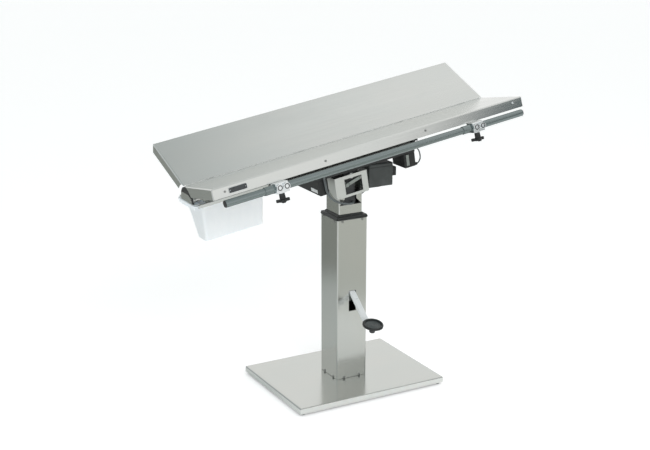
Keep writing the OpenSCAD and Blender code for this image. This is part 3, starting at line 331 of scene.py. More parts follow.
along, upright, level = (0, table["tilt"], 0), (0, 90, 0), (0, 0, 0)
steelLook = {"color": (0.69, 0.70, 0.68), "rough": 0.22, "vary": 0.03, "streak": 0.02, "cloud": 0.4,
             "smudge": 0.05, "anisotropy": 0.3, "bump": 0.03, "turn": along, "metal": 1.0}
steelLooks = {
    "panel": ("panelSteel", {}),
    "flange": ("flangeSteel", {"color": (0.68, 0.69, 0.67), "rough": 0.15, "vary": 0.02, "smudge": 0.03}),
    "column": ("columnSteel", {"color": (0.60, 0.605, 0.575), "rough": 0.19, "vary": 0.02, "bump": 0.02,
                               "turn": upright}),
    "base": ("baseSteel", {"color": (0.60, 0.61, 0.585), "rough": 0.17, "bump": 0.02, "turn": level}),
    "rail": ("railSteel", {"color": (0.26, 0.30, 0.30), "rough": 0.25, "streak": 0.08}),
    "bright": ("brightSteel", {"color": (0.88, 0.90, 0.91), "rough": 0.24, "bump": 0.02}),
    "pedal": ("pedalPlating", {"color": (0.90, 0.92, 0.93), "rough": 0.3, "metal": 0.45, "bump": 0.02}),
    "ram": ("ramChrome", {"color": (0.85, 0.86, 0.87), "rough": 0.1, "bump": 0.01, "turn": upright}),
    "screw": ("screwSteel", {"color": (0.40, 0.40, 0.39), "rough": 0.36, "streak": 0.12, "turn": level}),
    "zinc": ("zincPlate", {"color": (0.36, 0.39, 0.37), "rough": 0.42, "streak": 0.1}),
    "hinge": ("hingePlate", {"color": (0.55, 0.57, 0.56), "rough": 0.5, "streak": 0.06}),
    # foldPaintedReflection: a darker steel on the bends of the rear wing and the base pan, a painted dark reflection
    "fold": ("foldPaintedReflection", {"color": (0.42, 0.435, 0.43), "rough": 0.3}),
    "cover": ("coverSteel", {"color": (0.80, 0.805, 0.785), "rough": 0.34}),
    # paintedBaseLight: the base pan's sides and front are painted in a lighter steel, painted light
    "paintedBaseLight": ("baseSidePaintedLight", {"color": (0.88, 0.885, 0.86), "rough": 0.3, "turn": level}),
    "bronze": ("bushBronze", {"color": (0.55, 0.38, 0.18), "rough": 0.36, "turn": level}),
}
paintLooks = {
    "cast": ("castPaint", {"color": (0.035, 0.037, 0.038), "under": (0.3, 0.3, 0.3), "rough": 0.5, "peel": 420,
                           "bump": 0.25, "wear": 0.5}),
    "black": ("blackCoat", {"color": (0.012, 0.013, 0.014), "under": (0.2, 0.2, 0.2), "rough": 0.42, "peel": 700,
                            "bump": 0.18, "wear": 0.35}),
}
plasticLooks = {
    "plastic": ("blackPlastic", {"color": (0.010, 0.011, 0.011), "rough": 0.46, "grain": 2200, "bump": 0.12}),
    "boxPlastic": ("boxPlastic", {"color": (0.036, 0.041, 0.040), "rough": 0.5, "grain": 1500, "bump": 0.2}),
    "cable": ("cableJacket", {"color": (0.07, 0.08, 0.082), "rough": 0.45, "grain": 1200, "bump": 0.1}),
    "guide": ("guidePlastic", {"color": (0.55, 0.56, 0.55), "rough": 0.4, "grain": 900, "bump": 0.08}),
    "collar": ("collarRubber", {"color": (0.018, 0.020, 0.019), "rough": 0.4, "grain": 900, "bump": 0.15}),
    # sealantAndPaintedLight: pale plastic of the gasket and notch covers, also put on the lips' valley faces to lift
    # the shade in the slot: painted light
    "sealantAndPaintedLight": ("paleSealantAndPaintedLight", {"color": (0.70, 0.71, 0.70), "rough": 0.5, "grain": 300, "bump": 0.05}),
    "blank": ("blankPlate", {"color": (0.66, 0.68, 0.68), "rough": 0.4, "grain": 700, "bump": 0.04}),
    "plate": ("plateEnamel", {"color": (0.03, 0.034, 0.036), "rough": 0.25, "grain": 500, "bump": 0.03}),
}
padLook = {"rim": (0.016, 0.018, 0.018), "floor": (0.085, 0.10, 0.10), "rough": 0.36,
           "middle": (0.002, -0.2137, 0.2896), "lean": 12, "edge": (0.025, 0.033)}
bucketLook = {"color": (0.87, 0.915, 0.94), "shade": (0.84, 0.89, 0.92), "rough": 0.46}

finishes = {key: brushedSteel(name, {**steelLook, **look}) for key, (name, look) in steelLooks.items()}
finishes.update({key: paintedMetal(name, look) for key, (name, look) in paintLooks.items()})
finishes.update({key: mouldedPlastic(name, look) for key, (name, look) in plasticLooks.items()})
finishes["rubber"] = padRubber("padRubber", padLook)
finishes["bucket"] = bucketPlastic("bucketPlastic", bucketLook)
print("materials made:", len(finishes))


# pieces, and what the record says of them
def newPiece(name, mesh, body):
    piece = newObject(name, mesh)
    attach(piece, body)
    return piece


def bodyOf(node):
    return next(body for body, members in frame["record"]["behaviour"]["bodies"].items() if node in members)


shaping = {"mergeReach": 2e-6, "sharpAngle": 34.0, "bevelSteps": 2, "bevelProfile": 0.5, "strayShare": 1.5}


def isSharp(edge, angle=shaping["sharpAngle"]):
    return len(edge.link_faces) == 2 and edge.calc_face_angle() > math.radians(angle)


def mergedCopy(node):
    form = bmesh.new()
    form.from_mesh(nodes[node].data)
    bmesh.ops.remove_doubles(form, verts=form.verts, dist=shaping["mergeReach"])
    return form


def toMesh(form, name):
    mesh = bpy.data.meshes.new(name)
    form.to_mesh(mesh)
    form.free()
    return mesh


def weightedShading(piece):
    for polygon in piece.data.polygons:
        polygon.use_smooth = True
    modifier = piece.modifiers.new("evenShading", "WEIGHTED_NORMAL")
    modifier.keep_sharp = True


def looseParts(node):
    # the corners of each separate solid in a CAD piece, always in the same order
    form = mergedCopy(node)
    reached, parts = set(), []
    for first in form.verts:
        if first in reached:
            continue
        reached.add(first)
        group, queue = [], [first]
        while queue:
            vertex = queue.pop()
            group.append(vertex.co.copy())
            for edge in vertex.link_edges:
                other = edge.other_vert(vertex)
                if other not in reached:
                    reached.add(other)
                    queue.append(other)
        parts.append(group)
    form.free()
    return parts


def middleOf(points):
    return Vector([(min(p[i] for p in points) + max(p[i] for p in points)) / 2 for i in range(3)])


# faces of a piece that take another finish, found in the frame given with it
zones = {
    "sleeveEnd": {"left_rail_holder": -0.422, "right_rail_holder": 0.382},
    "lip": {"across": 0.0066, "facing": -0.8, "halfLength": 0.622},
    "flange": {"across": 0.2590, "facing": 0.8},
    "rearFold": {"across": 0.2575, "up": 0.1, "out": 0.15},
    "paintedBaseLight": 0.5,
    "baseFold": {"low": 0.15, "high": 0.96, "rear": -0.3},
    "bossRing": {"inner": 0.0064, "outer": 0.0092, "front": 0.3036},
}
frontPlace, rearPlace = wingPlace(-1), wingPlace(1)
intoFront = frontPlace.inverted()
bossMiddles = [middleOf([intoFront @ place for place in part]) for part in looseParts("holder_bosses")]


# the lips' valley faces sit in shade in the slot and are painted pale: painted light
def onLip(place, normal):
    lip = zones["lip"]
    return place.y < lip["across"] and normal.y < lip["facing"] and abs(place.x) < lip["halfLength"]


def onFlange(place, normal):
    return place.y > zones["flange"]["across"] and normal.y > zones["flange"]["facing"]


# the rear wing's outer bend is painted darker: painted reflection
def onRearFold(place, normal):
    fold = zones["rearFold"]
    return place.y > fold["across"] and normal.z > fold["up"] and normal.y > fold["out"]


# the sides and front of the base pan are painted lighter: painted light
def onLitBaseSide(place, normal):
    return normal.z < zones["paintedBaseLight"]


# the base pan's bends, all but the front ones, are painted darker: painted reflection
def onBaseFold(place, normal):
    fold = zones["baseFold"]
    return fold["low"] < normal.z < fold["high"] and normal.y > fold["rear"]


def inBossShadeRing(place, normal):
    # round each boss's bright dome the recess is painted black: painted shade
    ring = zones["bossRing"]
    away = min(math.hypot(place.x - middle.x, place.z - middle.z) for middle in bossMiddles)
    return place.y <= ring["front"] and ring["inner"] < away < ring["outer"]


secondFinish = {
    "front_wing": [("sealantAndPaintedLight", frontPlace, onLip), ("flange", frontPlace, onFlange)],
    "rear_wing": [("sealantAndPaintedLight", rearPlace, onLip), ("flange", rearPlace, onFlange), ("fold", rearPlace, onRearFold)],
    "base_cover": [("paintedBaseLight", Matrix(), onLitBaseSide), ("fold", Matrix(), onBaseFold)],
    "holder_bosses": [("plastic", frontPlace, inBossShadeRing)],
}
for node, end in zones["sleeveEnd"].items():
    secondFinish[node] = [("rail", frontPlace, lambda place, normal, end=end: place.x < end)]


def roundedPiece(node, finish, radius):
    # a merged copy with small rounded edges stands for the CAD piece
    form = mergedCopy(node)
    surface = BVHTree.FromBMesh(form)
    made = bmesh.ops.bevel(form, geom=[edge for edge in form.edges if isSharp(edge)], offset=radius,
                           segments=shaping["bevelSteps"], profile=shaping["bevelProfile"], affect="EDGES",
                           clamp_overlap=False)
    for vertex in form.verts:
        # a corner that flies off, where edges meet at a thin angle, goes back to the piece
        nearest, _, _, distance = surface.find_nearest(vertex.co)
        if distance > shaping["strayShare"] * radius:
            vertex.co = nearest
    wear = form.faces.layers.float.new("edgeWear")
    for face in made["faces"]:
        if face.is_valid:
            face[wear] = 1.0
    for edge in form.edges:
        edge.smooth = not isSharp(edge)
    mesh = toMesh(form, node + "Finished")
    mesh.materials.append(finishes[finish])
    for index, (other, placeOf, test) in enumerate(secondFinish.get(node, []), 1):
        mesh.materials.append(finishes[other])
        inside = placeOf.inverted()
        for polygon in mesh.polygons:
            if test(inside @ polygon.center, inside.to_3x3() @ polygon.normal):
                polygon.material_index = index
    piece = newPiece(node + "_finished", mesh, bodyOf(node))
    weightedShading(piece)
    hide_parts(node)


# finish and edge radius of each CAD piece that shows its edges
roundedNodes = {
    "base_cover": ("base", 0.0008), "base_weight": ("cast", 0.001), "outer_column": ("column", 0.0012),
    "column_foot_frame": ("cast", 0.001), "column_collar": ("collar", 0.0025), "inner_column": ("column", 0.001),
    "pivot_bracket": ("cast", 0.0012), "box_bracket": ("cast", 0.0006), "control_box": ("boxPlastic", 0.0012),
    # tilt_lugs are black to stand in for the shade under the cover's top: painted shade
    "control_box_latch": ("plastic", 0.0006), "tilt_lugs": ("black", 0.001), "head_cover": ("cover", 0.0006),
    "tilt_link": ("zinc", 0.0006), "saddle_beam": ("black", 0.001), "actuator_housing": ("plastic", 0.0012),
    "junction_box": ("plastic", 0.0012), "junction_strip": ("zinc", 0.0004), "hinge_lugs": ("panel", 0.0005),
    "bucket_runners": ("panel", 0.0004), "pump_block": ("zinc", 0.0012), "pedal_arm": ("pedal", 0.0008),
    "rear_wing": ("panel", 0.0005), "front_wing": ("panel", 0.0005), "rear_quadrant": ("cast", 0.0006),
    "front_quadrant": ("cast", 0.0006), "left_rail_holder": ("bright", 0.0008),
    "right_rail_holder": ("bright", 0.0008), "rear_lever": ("plastic", 0.0012), "front_lever": ("plastic", 0.0012),
    "left_knob": ("plastic", 0.0012), "right_knob": ("plastic", 0.0012), "name_plate": ("plate", 0.0004),
    "drain_bucket": ("bucket", 0.0009), "pad_nut": ("cast", 0.0008), "holder_bosses": ("bright", 0.0006),
    # shaft_collars are dark to stand in for the shade under the cover's top: painted shade
    "shaft_collars": ("cast", 0.0006),
}
for node, (finish, radius) in roundedNodes.items():
    roundedPiece(node, finish, radius)
print("rounded pieces:", len(roundedNodes))

# CAD pieces that stay as they are and only take a finish
plainNodes = {
    "levelling_feet": "zinc", "column_screws": "screw", "hydraulic_cylinder": "cast", "pedal_pin": "bright",
    "pedal_pad": "rubber", "lower_guides": "guide", "hydraulic_ram": "ram", "pivot_bushes": "bronze",
    "link_stud": "zinc", "tilt_shaft": "bright", "link_pin": "screw", "valley_spine": "panel",
    # valley_seals are black plates set in the gap at the valley's ends, standing for the shade there: painted shade
    "valley_seals": "plastic", "hinge_rod": "bright", "lock_studs": "zinc", "head_cable": "cable",
    "loop_cable": "cable", "cable_glands": "plastic", "rear_hinges": "hinge", "front_hinges": "hinge",
    "front_screws": "screw", "accessory_rail": "rail", "rail_caps": "plastic",
}
for node, finish in plainNodes.items():
    target = nodes[node]
    if not target.material_slots:
        target.data.materials.append(finishes[finish])
    for slot in target.material_slots:
        slot.material = finishes[finish]
print("plain pieces:", len(plainNodes))


# small pieces that repeat, made with Geometry Nodes
def nodeTree(name, sizes):
    tree = bpy.data.node_groups.new(name, "GeometryNodeTree")
    tree.interface.new_socket("Geometry", in_out="INPUT", socket_type="NodeSocketGeometry")
    for label in sizes:
        tree.interface.new_socket(label, in_out="INPUT", socket_type="NodeSocketFloat")
    tree.interface.new_socket("Finish", in_out="INPUT", socket_type="NodeSocketMaterial")
    tree.interface.new_socket("Geometry", in_out="OUTPUT", socket_type="NodeSocketGeometry")
    return tree, tree.nodes.new("NodeGroupInput")


def raised(tree, shape, height):
    lift = wire(tree, "ShaderNodeCombineXYZ", {"Z": height})
    moved = wire(tree, "GeometryNodeTransform", {"Geometry": shape.outputs["Mesh"], "Translation": lift.outputs[0]})
    return moved.outputs["Geometry"]


def standOnPoints(tree, start, shape):
    # one copy of the shape on each point, turned to the point's own direction
    direction = wire(tree, "GeometryNodeInputNamedAttribute", {"Name": "direction"}, data_type="FLOAT_VECTOR")
    turn = wire(tree, "FunctionNodeAlignRotationToVector", {"Vector": direction.outputs["Attribute"]}, axis="Z")
    points = wire(tree, "GeometryNodeInstanceOnPoints", {"Points": start.outputs["Geometry"], "Instance": shape,
                                                         "Rotation": turn.outputs["Rotation"]})
    real = wire(tree, "GeometryNodeRealizeInstances", {"Geometry": points.outputs["Instances"]})
    painted = wire(tree, "GeometryNodeSetMaterial", {"Geometry": real.outputs["Geometry"],
                                                     "Material": start.outputs["Finish"]})
    wire(tree, "NodeGroupOutput", {"Geometry": painted.outputs["Geometry"]})
    return tree


capShape = {"sides": 28, "rimShare": 0.86, "skirtShare": 0.7, "chamferShare": 0.3, "socketShare": 0.45}


def cone(tree, sides, low, high, depth):
    return wire(tree, "GeometryNodeMeshCone", {"Vertices": sides, "Radius Top": high, "Radius Bottom": low,
                                               "Depth": depth})


def screwTree():
    # a chamfered cap with a hexagon socket
    sizes = ("Head radius", "Head height", "Socket radius")
    tree, start = nodeTree("screwHeads", sizes)
    radius, height, socket = (start.outputs[label] for label in sizes)
    skirt = multiplied(tree, height, capShape["skirtShare"])
    rim = multiplied(tree, radius, capShape["rimShare"])
    body = cone(tree, capShape["sides"], radius, radius, skirt)
    crown = cone(tree, capShape["sides"], radius, rim, multiplied(tree, height, capShape["chamferShare"]))
    joined = wire(tree, "GeometryNodeMeshBoolean", operation="UNION")
    tree.links.new(body.outputs["Mesh"], joined.inputs["Mesh 2"])
    tree.links.new(raised(tree, crown, skirt), joined.inputs["Mesh 2"])
    hexagon = cone(tree, 6, socket, socket, height)
    sunk = raised(tree, hexagon, multiplied(tree, height, capShape["socketShare"]))
    cut = wire(tree, "GeometryNodeMeshBoolean", {"Mesh 1": joined.outputs["Mesh"]}, operation="DIFFERENCE")
    tree.links.new(sunk, cut.inputs["Mesh 2"])
    return standOnPoints(tree, start, cut.outputs["Mesh"])


domeShape = {"Segments": 24, "Rings": 12, "Radius": 1.0}


def rivetTree():
    # a low dome, sunk to its middle in what it holds
    tree, start = nodeTree("rivets", ("Radius", "Height"))
    radius, height = start.outputs["Radius"], start.outputs["Height"]
    dome = wire(tree, "GeometryNodeMeshUVSphere", domeShape)
    size = wire(tree, "ShaderNodeCombineXYZ", {"X": radius, "Y": radius, "Z": height})
    low = wire(tree, "GeometryNodeTransform", {"Geometry": dome.outputs["Mesh"], "Scale": size.outputs[0]})
    return standOnPoints(tree, start, low.outputs["Geometry"])


def grown(name, tree, places, directions, values, body):
    # a mesh of bare points goes through the tree, and the result becomes a plain mesh
    mesh = bpy.data.meshes.new(name + "Points")
    mesh.from_pydata([tuple(place) for place in places], [], [])
    layer = mesh.attributes.new("direction", "FLOAT_VECTOR", "POINT")
    for item, direction in zip(layer.data, directions):
        item.vector = direction
    carrier = newObject(name + "Carrier", mesh)
    modifier = carrier.modifiers.new("grow", "NODES")
    modifier.node_group = tree
    for item in tree.interface.items_tree:
        if item.item_type == "SOCKET" and item.in_out == "INPUT" and item.name in values:
            modifier[item.identifier] = values[item.name]
    bpy.context.view_layer.update()
    result = bpy.data.meshes.new_from_object(carrier.evaluated_get(bpy.context.evaluated_depsgraph_get()))
    bpy.data.objects.remove(carrier)
    piece = newPiece(name, result, body)
    weightedShading(piece)
    form = bmesh.new()
    form.from_mesh(result)
    sharpOnes = [isSharp(edge) for edge in form.edges]
    form.free()
    for edge, sharp in zip(result.edges, sharpOnes):
        edge.use_edge_sharp = sharp
    return piece


def awayFromColumn(middle):
    if abs(middle.x) > abs(middle.y):
        return Vector((math.copysign(1, middle.x), 0, 0))
    return Vector((0, math.copysign(1, middle.y), 0))


def headFoot(part, way, height):
    # the foot of a screw's head, on one solid of the CAD piece
    middle = middleOf(part)
    return middle + way * (max(p.dot(way) for p in part) - height - middle.dot(way))


screwHeads, rivets = screwTree(), rivetTree()
columnScrew = {"Head radius": 0.0044, "Head height": 0.0026, "Socket radius": 0.0017, "Finish": finishes["screw"]}
columnParts = looseParts("column_screws")
ways = [awayFromColumn(middleOf(part)) for part in columnParts]
seats = [headFoot(part, way, columnScrew["Head height"]) for part, way in zip(columnParts, ways)]
heads = grown("column_screw_heads", screwHeads, seats, ways, columnScrew, "base")
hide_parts("column_screws")
print("column screws:", len(seats))

frontOut = (frontPlace.to_3x3() @ Vector((0, 1, 0))).normalized()
frontBody = bodyOf("front_wing")
frontScrew = {"Head radius": 0.004, "Head height": 0.0022, "Socket radius": 0.0016, "Finish": finishes["screw"]}
seats = [headFoot(part, frontOut, frontScrew["Head height"]) for part in looseParts("front_screws")]
heads = grown("front_screw_heads", screwHeads, seats, [frontOut] * len(seats), frontScrew, frontBody)
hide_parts("front_screws")
flangeRivet = {"place": (0.592, 0.260, -0.006), "Radius": 0.0048, "Height": 0.0020, "Finish": finishes["bright"]}
rivetPlaces = [frontPlace @ Vector(flangeRivet["place"])]
grown("flange_rivet", rivets, rivetPlaces, [frontOut], flangeRivet, frontBody)
print("front screws:", len(seats))


# thin trim
def roundedOutline(size, inset, radius, steps=6):
    halfWidth = (size["width"] - 2 * inset) / 2 - radius
    halfHeight = (size["height"] - 2 * inset) / 2 - radius
    points = []
    for sideX, sideY, start in ((1, 1, 0), (-1, 1, 90), (-1, -1, 180), (1, -1, 270)):
        for step in range(steps + 1):
            angle = math.radians(start + 90 * step / steps)
            points.append((sideX * halfWidth + radius * math.cos(angle),
                           sideY * halfHeight + radius * math.sin(angle)))
    return points


def loftedPiece(name, shells, closed, body, finish, sharp=shaping["sharpAngle"]):
    # each shell is a skin over rings of points; closed joins its last ring to the first, else its ends are capped
    form = bmesh.new()
    for rings in shells:
        loops = [[form.verts.new(place) for place in ring] for ring in rings]
        pairs = zip(loops, loops[1:] + loops[:1]) if closed else zip(loops, loops[1:])
        for first, second in pairs:
            for k in range(len(first)):
                following = (k + 1) % len(first)
                form.faces.new((first[k], first[following], second[following], second[k]))
        if not closed:
            form.faces.new(loops[0])
            form.faces.new(loops[-1])
    bmesh.ops.recalc_face_normals(form, faces=form.faces)
    for edge in form.edges:
        edge.smooth = not isSharp(edge, sharp)
    mesh = toMesh(form, name)
    mesh.materials.append(finishes[finish])
    piece = newPiece(name, mesh, body)
    weightedShading(piece)


# the name plate's raised rim and its two rivets; the plate itself is bare
nameTrim = {"x": -0.541, "z": -0.011, "face": 0.2615, "width": 0.068, "height": 0.020, "corner": 0.005,
            "rim": 0.0013, "rise": 0.0007, "shoulder": 0.6, "sunk": 0.0004, "outset": 0.0001, "slope": 0.0003,
            "rivetX": 0.0285, "Radius": 0.0016, "Height": 0.0009, "Finish": finishes["bright"]}


def nameRing(inset, out):
    outline = roundedOutline(nameTrim, inset, nameTrim["corner"] - inset)
    return [frontPlace @ Vector((nameTrim["x"] + u, nameTrim["face"] + out, nameTrim["z"] + v)) for u, v in outline]


outer, inner, rise = nameTrim["outset"], nameTrim["rim"], nameTrim["rise"]
shoulder, sunk, slope = rise * nameTrim["shoulder"], nameTrim["sunk"], nameTrim["slope"]
rimRings = [nameRing(outer, -sunk), nameRing(outer, shoulder), nameRing(outer + slope, rise),
            nameRing(inner - slope, rise), nameRing(inner, shoulder), nameRing(inner, -sunk)]
loftedPiece("name_plate_rim", [rimRings], True, frontBody, "bright")
rivetPlaces = [frontPlace @ Vector((nameTrim["x"] + side * nameTrim["rivetX"], nameTrim["face"], nameTrim["z"]))
               for side in (-1, 1)]
grown("name_plate_rivets", rivets, rivetPlaces, [frontOut] * 2, nameTrim, frontBody)

# a bare pale plate on the housing's drain side
blankPlate = {"x": -0.164, "y": -0.054, "z": -0.139, "width": 0.050, "height": 0.013, "corner": 0.002,
              "thick": 0.0009, "shoulder": 0.6, "sunk": 0.0003, "slope": 0.0004}


def blankRing(inset, out):
    outline = roundedOutline(blankPlate, inset, blankPlate["corner"])
    return [topPlace @ Vector((blankPlate["x"] - out, blankPlate["y"] + u, blankPlate["z"] + v)) for u, v in outline]


thick = blankPlate["thick"]
blankRings = [blankRing(0, -blankPlate["sunk"]), blankRing(0, thick * blankPlate["shoulder"]),
              blankRing(blankPlate["slope"], thick)]
loftedPiece("housing_plate", [blankRings], False, "head", "blank")

# ribbed gasket round the hinge rod, between the knuckles
gasket = {"radius": 0.0069, "rib": 0.0003, "ribEvery": 4, "sides": 48, "breaks": (-0.5334, -0.1778, 0.254, 0.5334),
          "halfGap": 0.0172, "end": 0.6215, "chamfer": 0.0008, "sharpAngle": 60.0}


def gasketRing(x, shrink=0.0):
    ring = []
    for k in range(gasket["sides"]):
        angle = k * math.tau / gasket["sides"]
        radius = gasket["radius"] - shrink - (gasket["rib"] if k % gasket["ribEvery"] == 0 else 0)
        ring.append(topPlace @ Vector((x, radius * math.cos(angle), -table["hingeDrop"] + radius * math.sin(angle))))
    return ring


def gasketShell(first, last):
    chamfer = gasket["chamfer"]
    return [gasketRing(first, chamfer), gasketRing(first + chamfer), gasketRing(last - chamfer),
            gasketRing(last, chamfer)]


stops = [place + side * gasket["halfGap"] for place in gasket["breaks"] for side in (-1, 1)]
stops = [-gasket["end"]] + stops + [gasket["end"]]
gasketShells = [gasketShell(first, last) for first, last in zip(stops[::2], stops[1::2])]
loftedPiece("valley_gasket", gasketShells, False, "head", "sealantAndPaintedLight", gasket["sharpAngle"])

# small covers over the notches that the lips have at the knuckles
notchCover = {"width": 0.0362, "height": 0.0026, "middle": 0.00575, "face": 0.006, "thick": 0.0012,
              "corner": 0.0004, "cornerSteps": 2, "slope": 0.0002}


def notchRing(side, x, inset, depth):
    place, face, middle = wingPlace(side), notchCover["face"] + depth, notchCover["middle"]
    outline = roundedOutline(notchCover, inset, notchCover["corner"], notchCover["cornerSteps"])
    return [place @ Vector((x + u, face, middle + v)) for u, v in outline]


def notchShell(side, x):
    slope = notchCover["slope"]
    return [notchRing(side, x, slope, 0), notchRing(side, x, 0, slope), notchRing(side, x, 0, notchCover["thick"])]


for node, side in (("rear_wing", 1), ("front_wing", -1)):
    coverShells = [notchShell(side, x) for x in gasket["breaks"]]
    loftedPiece(node + "_notch_covers", coverShells, False, bodyOf(node), "sealantAndPaintedLight")

# a dark folded sheet on the box bracket, behind the window
shield = {"x": 0.0486, "thick": 0.0016, "halfWidth": 0.040, "chamfer": 0.009, "foot": 0.7622, "top": 0.806,
          "slope": 0.0004}


def shieldRing(x, inset=0.0):
    half, foot, top, cut = shield["halfWidth"] - inset, shield["foot"], shield["top"] - inset, shield["chamfer"]
    outline = ((-half, foot), (half, foot), (half, top - cut), (half - cut, top), (-half + cut, top),
               (-half, top - cut))
    return [Vector((x, y, z)) for y, z in outline]


near, far, slope = shield["x"], shield["x"] + shield["thick"], shield["slope"]
shieldRings = [shieldRing(near, slope), shieldRing(near + slope), shieldRing(far - slope), shieldRing(far, slope)]
loftedPiece("inner_shield", [shieldRings], False, bodyOf("box_bracket"), "zinc")
print("trim made")


# cables: smooth round leads along the CAD routes, which are in millimetres
cables = {
    "headRadius": 0.004,
    "loopRadius": 0.0025,
    "sides": 16,
    "heldPoint": 2,
    "headRoute": [(-146, -95.3, 31), (-146, -100.5, 31), (-145, -102.5, 26), (-142, -102.5, 18), (-139, -102, 4),
                  (-135, -102, -11), (-129, -101, -34), (-116, -98, -54), (-103, -93, -66), (-88, -88, -77),
                  (-70, -84, -86), (-52, -79, -93), (-28, -71, -100), (-4, -62, -104), (6, -55, -105),
                  (12, -47, -105), (14, -42, -104)],
    "loopRoute": [(249.3, -88, -84), (257, -88, -84), (264, -88, -88), (270, -88, -97), (273, -88, -108),
                  (274, -88, -120), (272, -88, -131), (266, -88, -140), (257, -88, -145), (249.3, -88, -145)],
}


def smoothRoute(points, steps=4):
    # Catmull-Rom through the route's points
    ends = [2 * points[0] - points[1]] + points + [2 * points[-1] - points[-2]]
    route = []
    for i in range(1, len(ends) - 2):
        a, b, c, d = ends[i - 1:i + 3]
        slope, curve, twist = c - a, 2 * a - 5 * b + 4 * c - d, 3 * b - a - 3 * c + d
        for t in (step / steps for step in range(steps)):
            route.append(0.5 * (2 * b + slope * t + curve * t * t + twist * t ** 3))
    return route + [points[-1]]


def lead(name, points, radius):
    # a round tube whose UV map runs round it, and along it in metres
    route, sides = smoothRoute(points), cables["sides"]
    angles = [k * math.tau / sides for k in range(sides)]
    form = bmesh.new()
    unrolled = form.loops.layers.uv.new("UVMap")
    rings, lengths, side, length = [], [], None, 0.0
    for i, place in enumerate(route):
        ahead = (route[min(i + 1, len(route) - 1)] - route[max(i - 1, 0)]).normalized()
        side = (ahead.orthogonal() if side is None else side - ahead * side.dot(ahead)).normalized()
        other = ahead.cross(side)
        rings.append([form.verts.new(place + radius * (side * math.cos(a) + other * math.sin(a))) for a in angles])
        length += (place - route[max(i - 1, 0)]).length
        lengths.append(length)
    for i in range(len(rings) - 1):
        for k in range(sides):
            first, second, following = rings[i], rings[i + 1], (k + 1) % sides
            face = form.faces.new((first[k], first[following], second[following], second[k]))
            for loop, (u, v) in zip(face.loops, ((k, i), (k + 1, i), (k + 1, i + 1), (k, i + 1))):
                loop[unrolled].uv = (u / sides, lengths[v])
    form.faces.new(list(reversed(rings[0])))
    form.faces.new(rings[-1])
    mesh = toMesh(form, name)
    mesh.materials.append(finishes["cable"])
    for polygon in mesh.polygons:
        polygon.use_smooth = len(polygon.vertices) == 4
    return mesh


headPoints = [Vector(p) / 1000 + Vector((0, 0, table["axisHeight"])) for p in cables["headRoute"]]
headLead = newObject("head_lead", lead("headLead", headPoints, cables["headRadius"]))
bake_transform(headLead)
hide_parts("head_cable")
loopPoints = [topPlace @ (Vector(p) / 1000) for p in cables["loopRoute"]]
loopLead = newPiece("loop_lead", lead("loopLead", loopPoints, cables["loopRadius"]), "head")
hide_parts("loop_cable")
print("cables laid")

# studio: the floor is evenly pale to the camera; only glossy rays see a paper sheet round the table and duller bands
# past its edge in front and behind, painted reflections in the steel
studio = {
    "floorSize": 30.0,
    "floorLevel": -0.0005,
    "floorRough": 0.85,
    "floorColor": (0.92, 0.92, 0.92),
    "floorGlow": 0.34,
    "acrossWay": (0.87, 0.49, 0),
    "behindWay": (-0.49, 0.87, 0),
    "bandEnds": (0.5, 1.0),
    "backEnds": (-0.1, 0.2),
    "backReach": 0.74,
    "reflectedEnds": (0.85, 1.1),
    "nearFront": (1.0, 1.0, 0.99),
    "nearBack": (0.72, 0.74, 0.73),
    "farFront": (0.62, 0.62, 0.58),
    "farBack": (0.36, 0.37, 0.34),
    "skyStrength": 1.0,
    "sky": (1.0, 1.0, 0.99),
    "ceiling": (0.40, 0.44, 0.44),
    "ceilingEnds": (0.35, 0.9),
    "ceilingRight": (0.14, 0.30),
    "ceilingLeast": 0.1,
    "darkSide": (0.04, 0.07, 0.08),
    "darkEnds": (0.51, 0.53),
    "darkDepth": (-0.5, 0.2),
    "leftSide": (0.62, 0.67, 0.69),
    "leftEnds": (-0.85, -0.35),
}
lamps = {
    "keyLight": {"place": (-0.6, -3.6, 3.3), "target": (0, 0, 0.7), "size": (2.2, 1.6), "power": 60},
    "sideLight": {"place": (2.8, -1.6, 2.0), "target": (0, 0, 0.6), "size": (1.4, 1.8), "power": 18},
}


def softBox(name, look):
    # lights the paper and the paint, and isn't mirrored in the steel
    light = bpy.data.lights.new(name, "AREA")
    light.shape = "RECTANGLE"
    light.size, light.size_y = look["size"]
    light.energy = look["power"]
    lamp = newObject(name, light)
    aim(lamp, look["place"], look["target"])
    lamp.visible_glossy = False


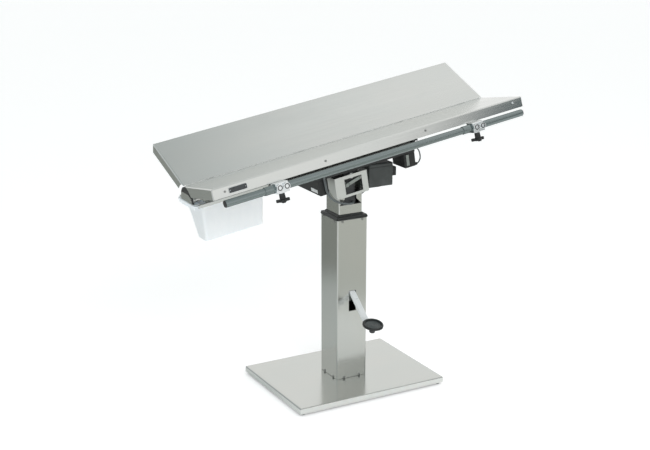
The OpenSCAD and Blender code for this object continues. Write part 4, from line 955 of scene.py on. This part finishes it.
bpy.ops.mesh.primitive_plane_add(size=studio["floorSize"], location=(0, 0, studio["floorLevel"]))
floor = bpy.context.object
floor.name = "floor"
paper, tree, shader = startMaterial("floorReflectionBands", studio["floorRough"])
glossy = wire(tree, "ShaderNodeLightPath").outputs["Is Glossy Ray"]
spot = objectPlace(tree)
reach = wire(tree, "ShaderNodeVectorMath", {0: spot}, operation="LENGTH").outputs["Value"]
across = wire(tree, "ShaderNodeVectorMath", {0: spot, 1: studio["acrossWay"]}, operation="DOT_PRODUCT")
behind = wire(tree, "ShaderNodeVectorMath", {0: spot, 1: studio["behindWay"]}, operation="DOT_PRODUCT")
aside = wire(tree, "ShaderNodeMath", {0: across.outputs["Value"]}, operation="ABSOLUTE").outputs[0]
band = ranged(tree, aside, 1, 0, *studio["bandEnds"])
back = ranged(tree, behind.outputs["Value"], 0, 1, *studio["backEnds"])
reflectedReach = multiplied(tree, reach, ranged(tree, back, 1, studio["backReach"], 0, 1))
past = ranged(tree, reflectedReach, 0, 1, *studio["reflectedEnds"])
nearTone = blendColors(tree, back, studio["nearFront"], studio["nearBack"])
farTone = blendColors(tree, back, studio["farFront"], studio["farBack"])
banded = blendColors(tree, band, studio["floorColor"], blendColors(tree, past, nearTone, farTone))
# glossy rays alone see these bands: painted reflections in the steel
tree.links.new(blendColors(tree, glossy, studio["floorColor"], banded), shader.inputs["Base Color"])
tree.links.new(blendColors(tree, glossy, (1, 1, 1), (0, 0, 0)), shader.inputs["Emission Color"])
shader.inputs["Emission Strength"].default_value = studio["floorGlow"]
floor.data.materials.append(paper)

# the sky that the steel mirrors: a dull ceiling, a dark wall in front on the right, a grey one on the left
world = bpy.data.worlds.new("studioSky")
bpy.context.scene.world = world
world.use_nodes = True
tree = world.node_tree
background = tree.nodes["Background"]
background.inputs["Strength"].default_value = studio["skyStrength"]
way = wire(tree, "ShaderNodeSeparateXYZ", {"Vector": wire(tree, "ShaderNodeTexCoord").outputs["Generated"]}).outputs
overhead = multiplied(tree, ranged(tree, way["Z"], 0, 1, *studio["ceilingEnds"]),
                      ranged(tree, way["X"], 1, studio["ceilingLeast"], *studio["ceilingRight"]))
rightward = multiplied(tree, ranged(tree, way["X"], 0, 1, *studio["darkEnds"]),
                       ranged(tree, way["Y"], 1, 0, *studio["darkDepth"]))
leftward = ranged(tree, way["X"], 1, 0, *studio["leftEnds"])
walls = blendColors(tree, overhead, studio["sky"], studio["ceiling"])
walls = blendColors(tree, rightward, walls, studio["darkSide"])
walls = blendColors(tree, leftward, walls, studio["leftSide"])
seen = wire(tree, "ShaderNodeLightPath").outputs["Is Camera Ray"]
tree.links.new(blendColors(tree, seen, walls, (1, 1, 1)), background.inputs["Color"])
for name, look in lamps.items():
    softBox(name, look)
bpy.context.scene.view_settings.view_transform = "Standard"
print("studio lit")
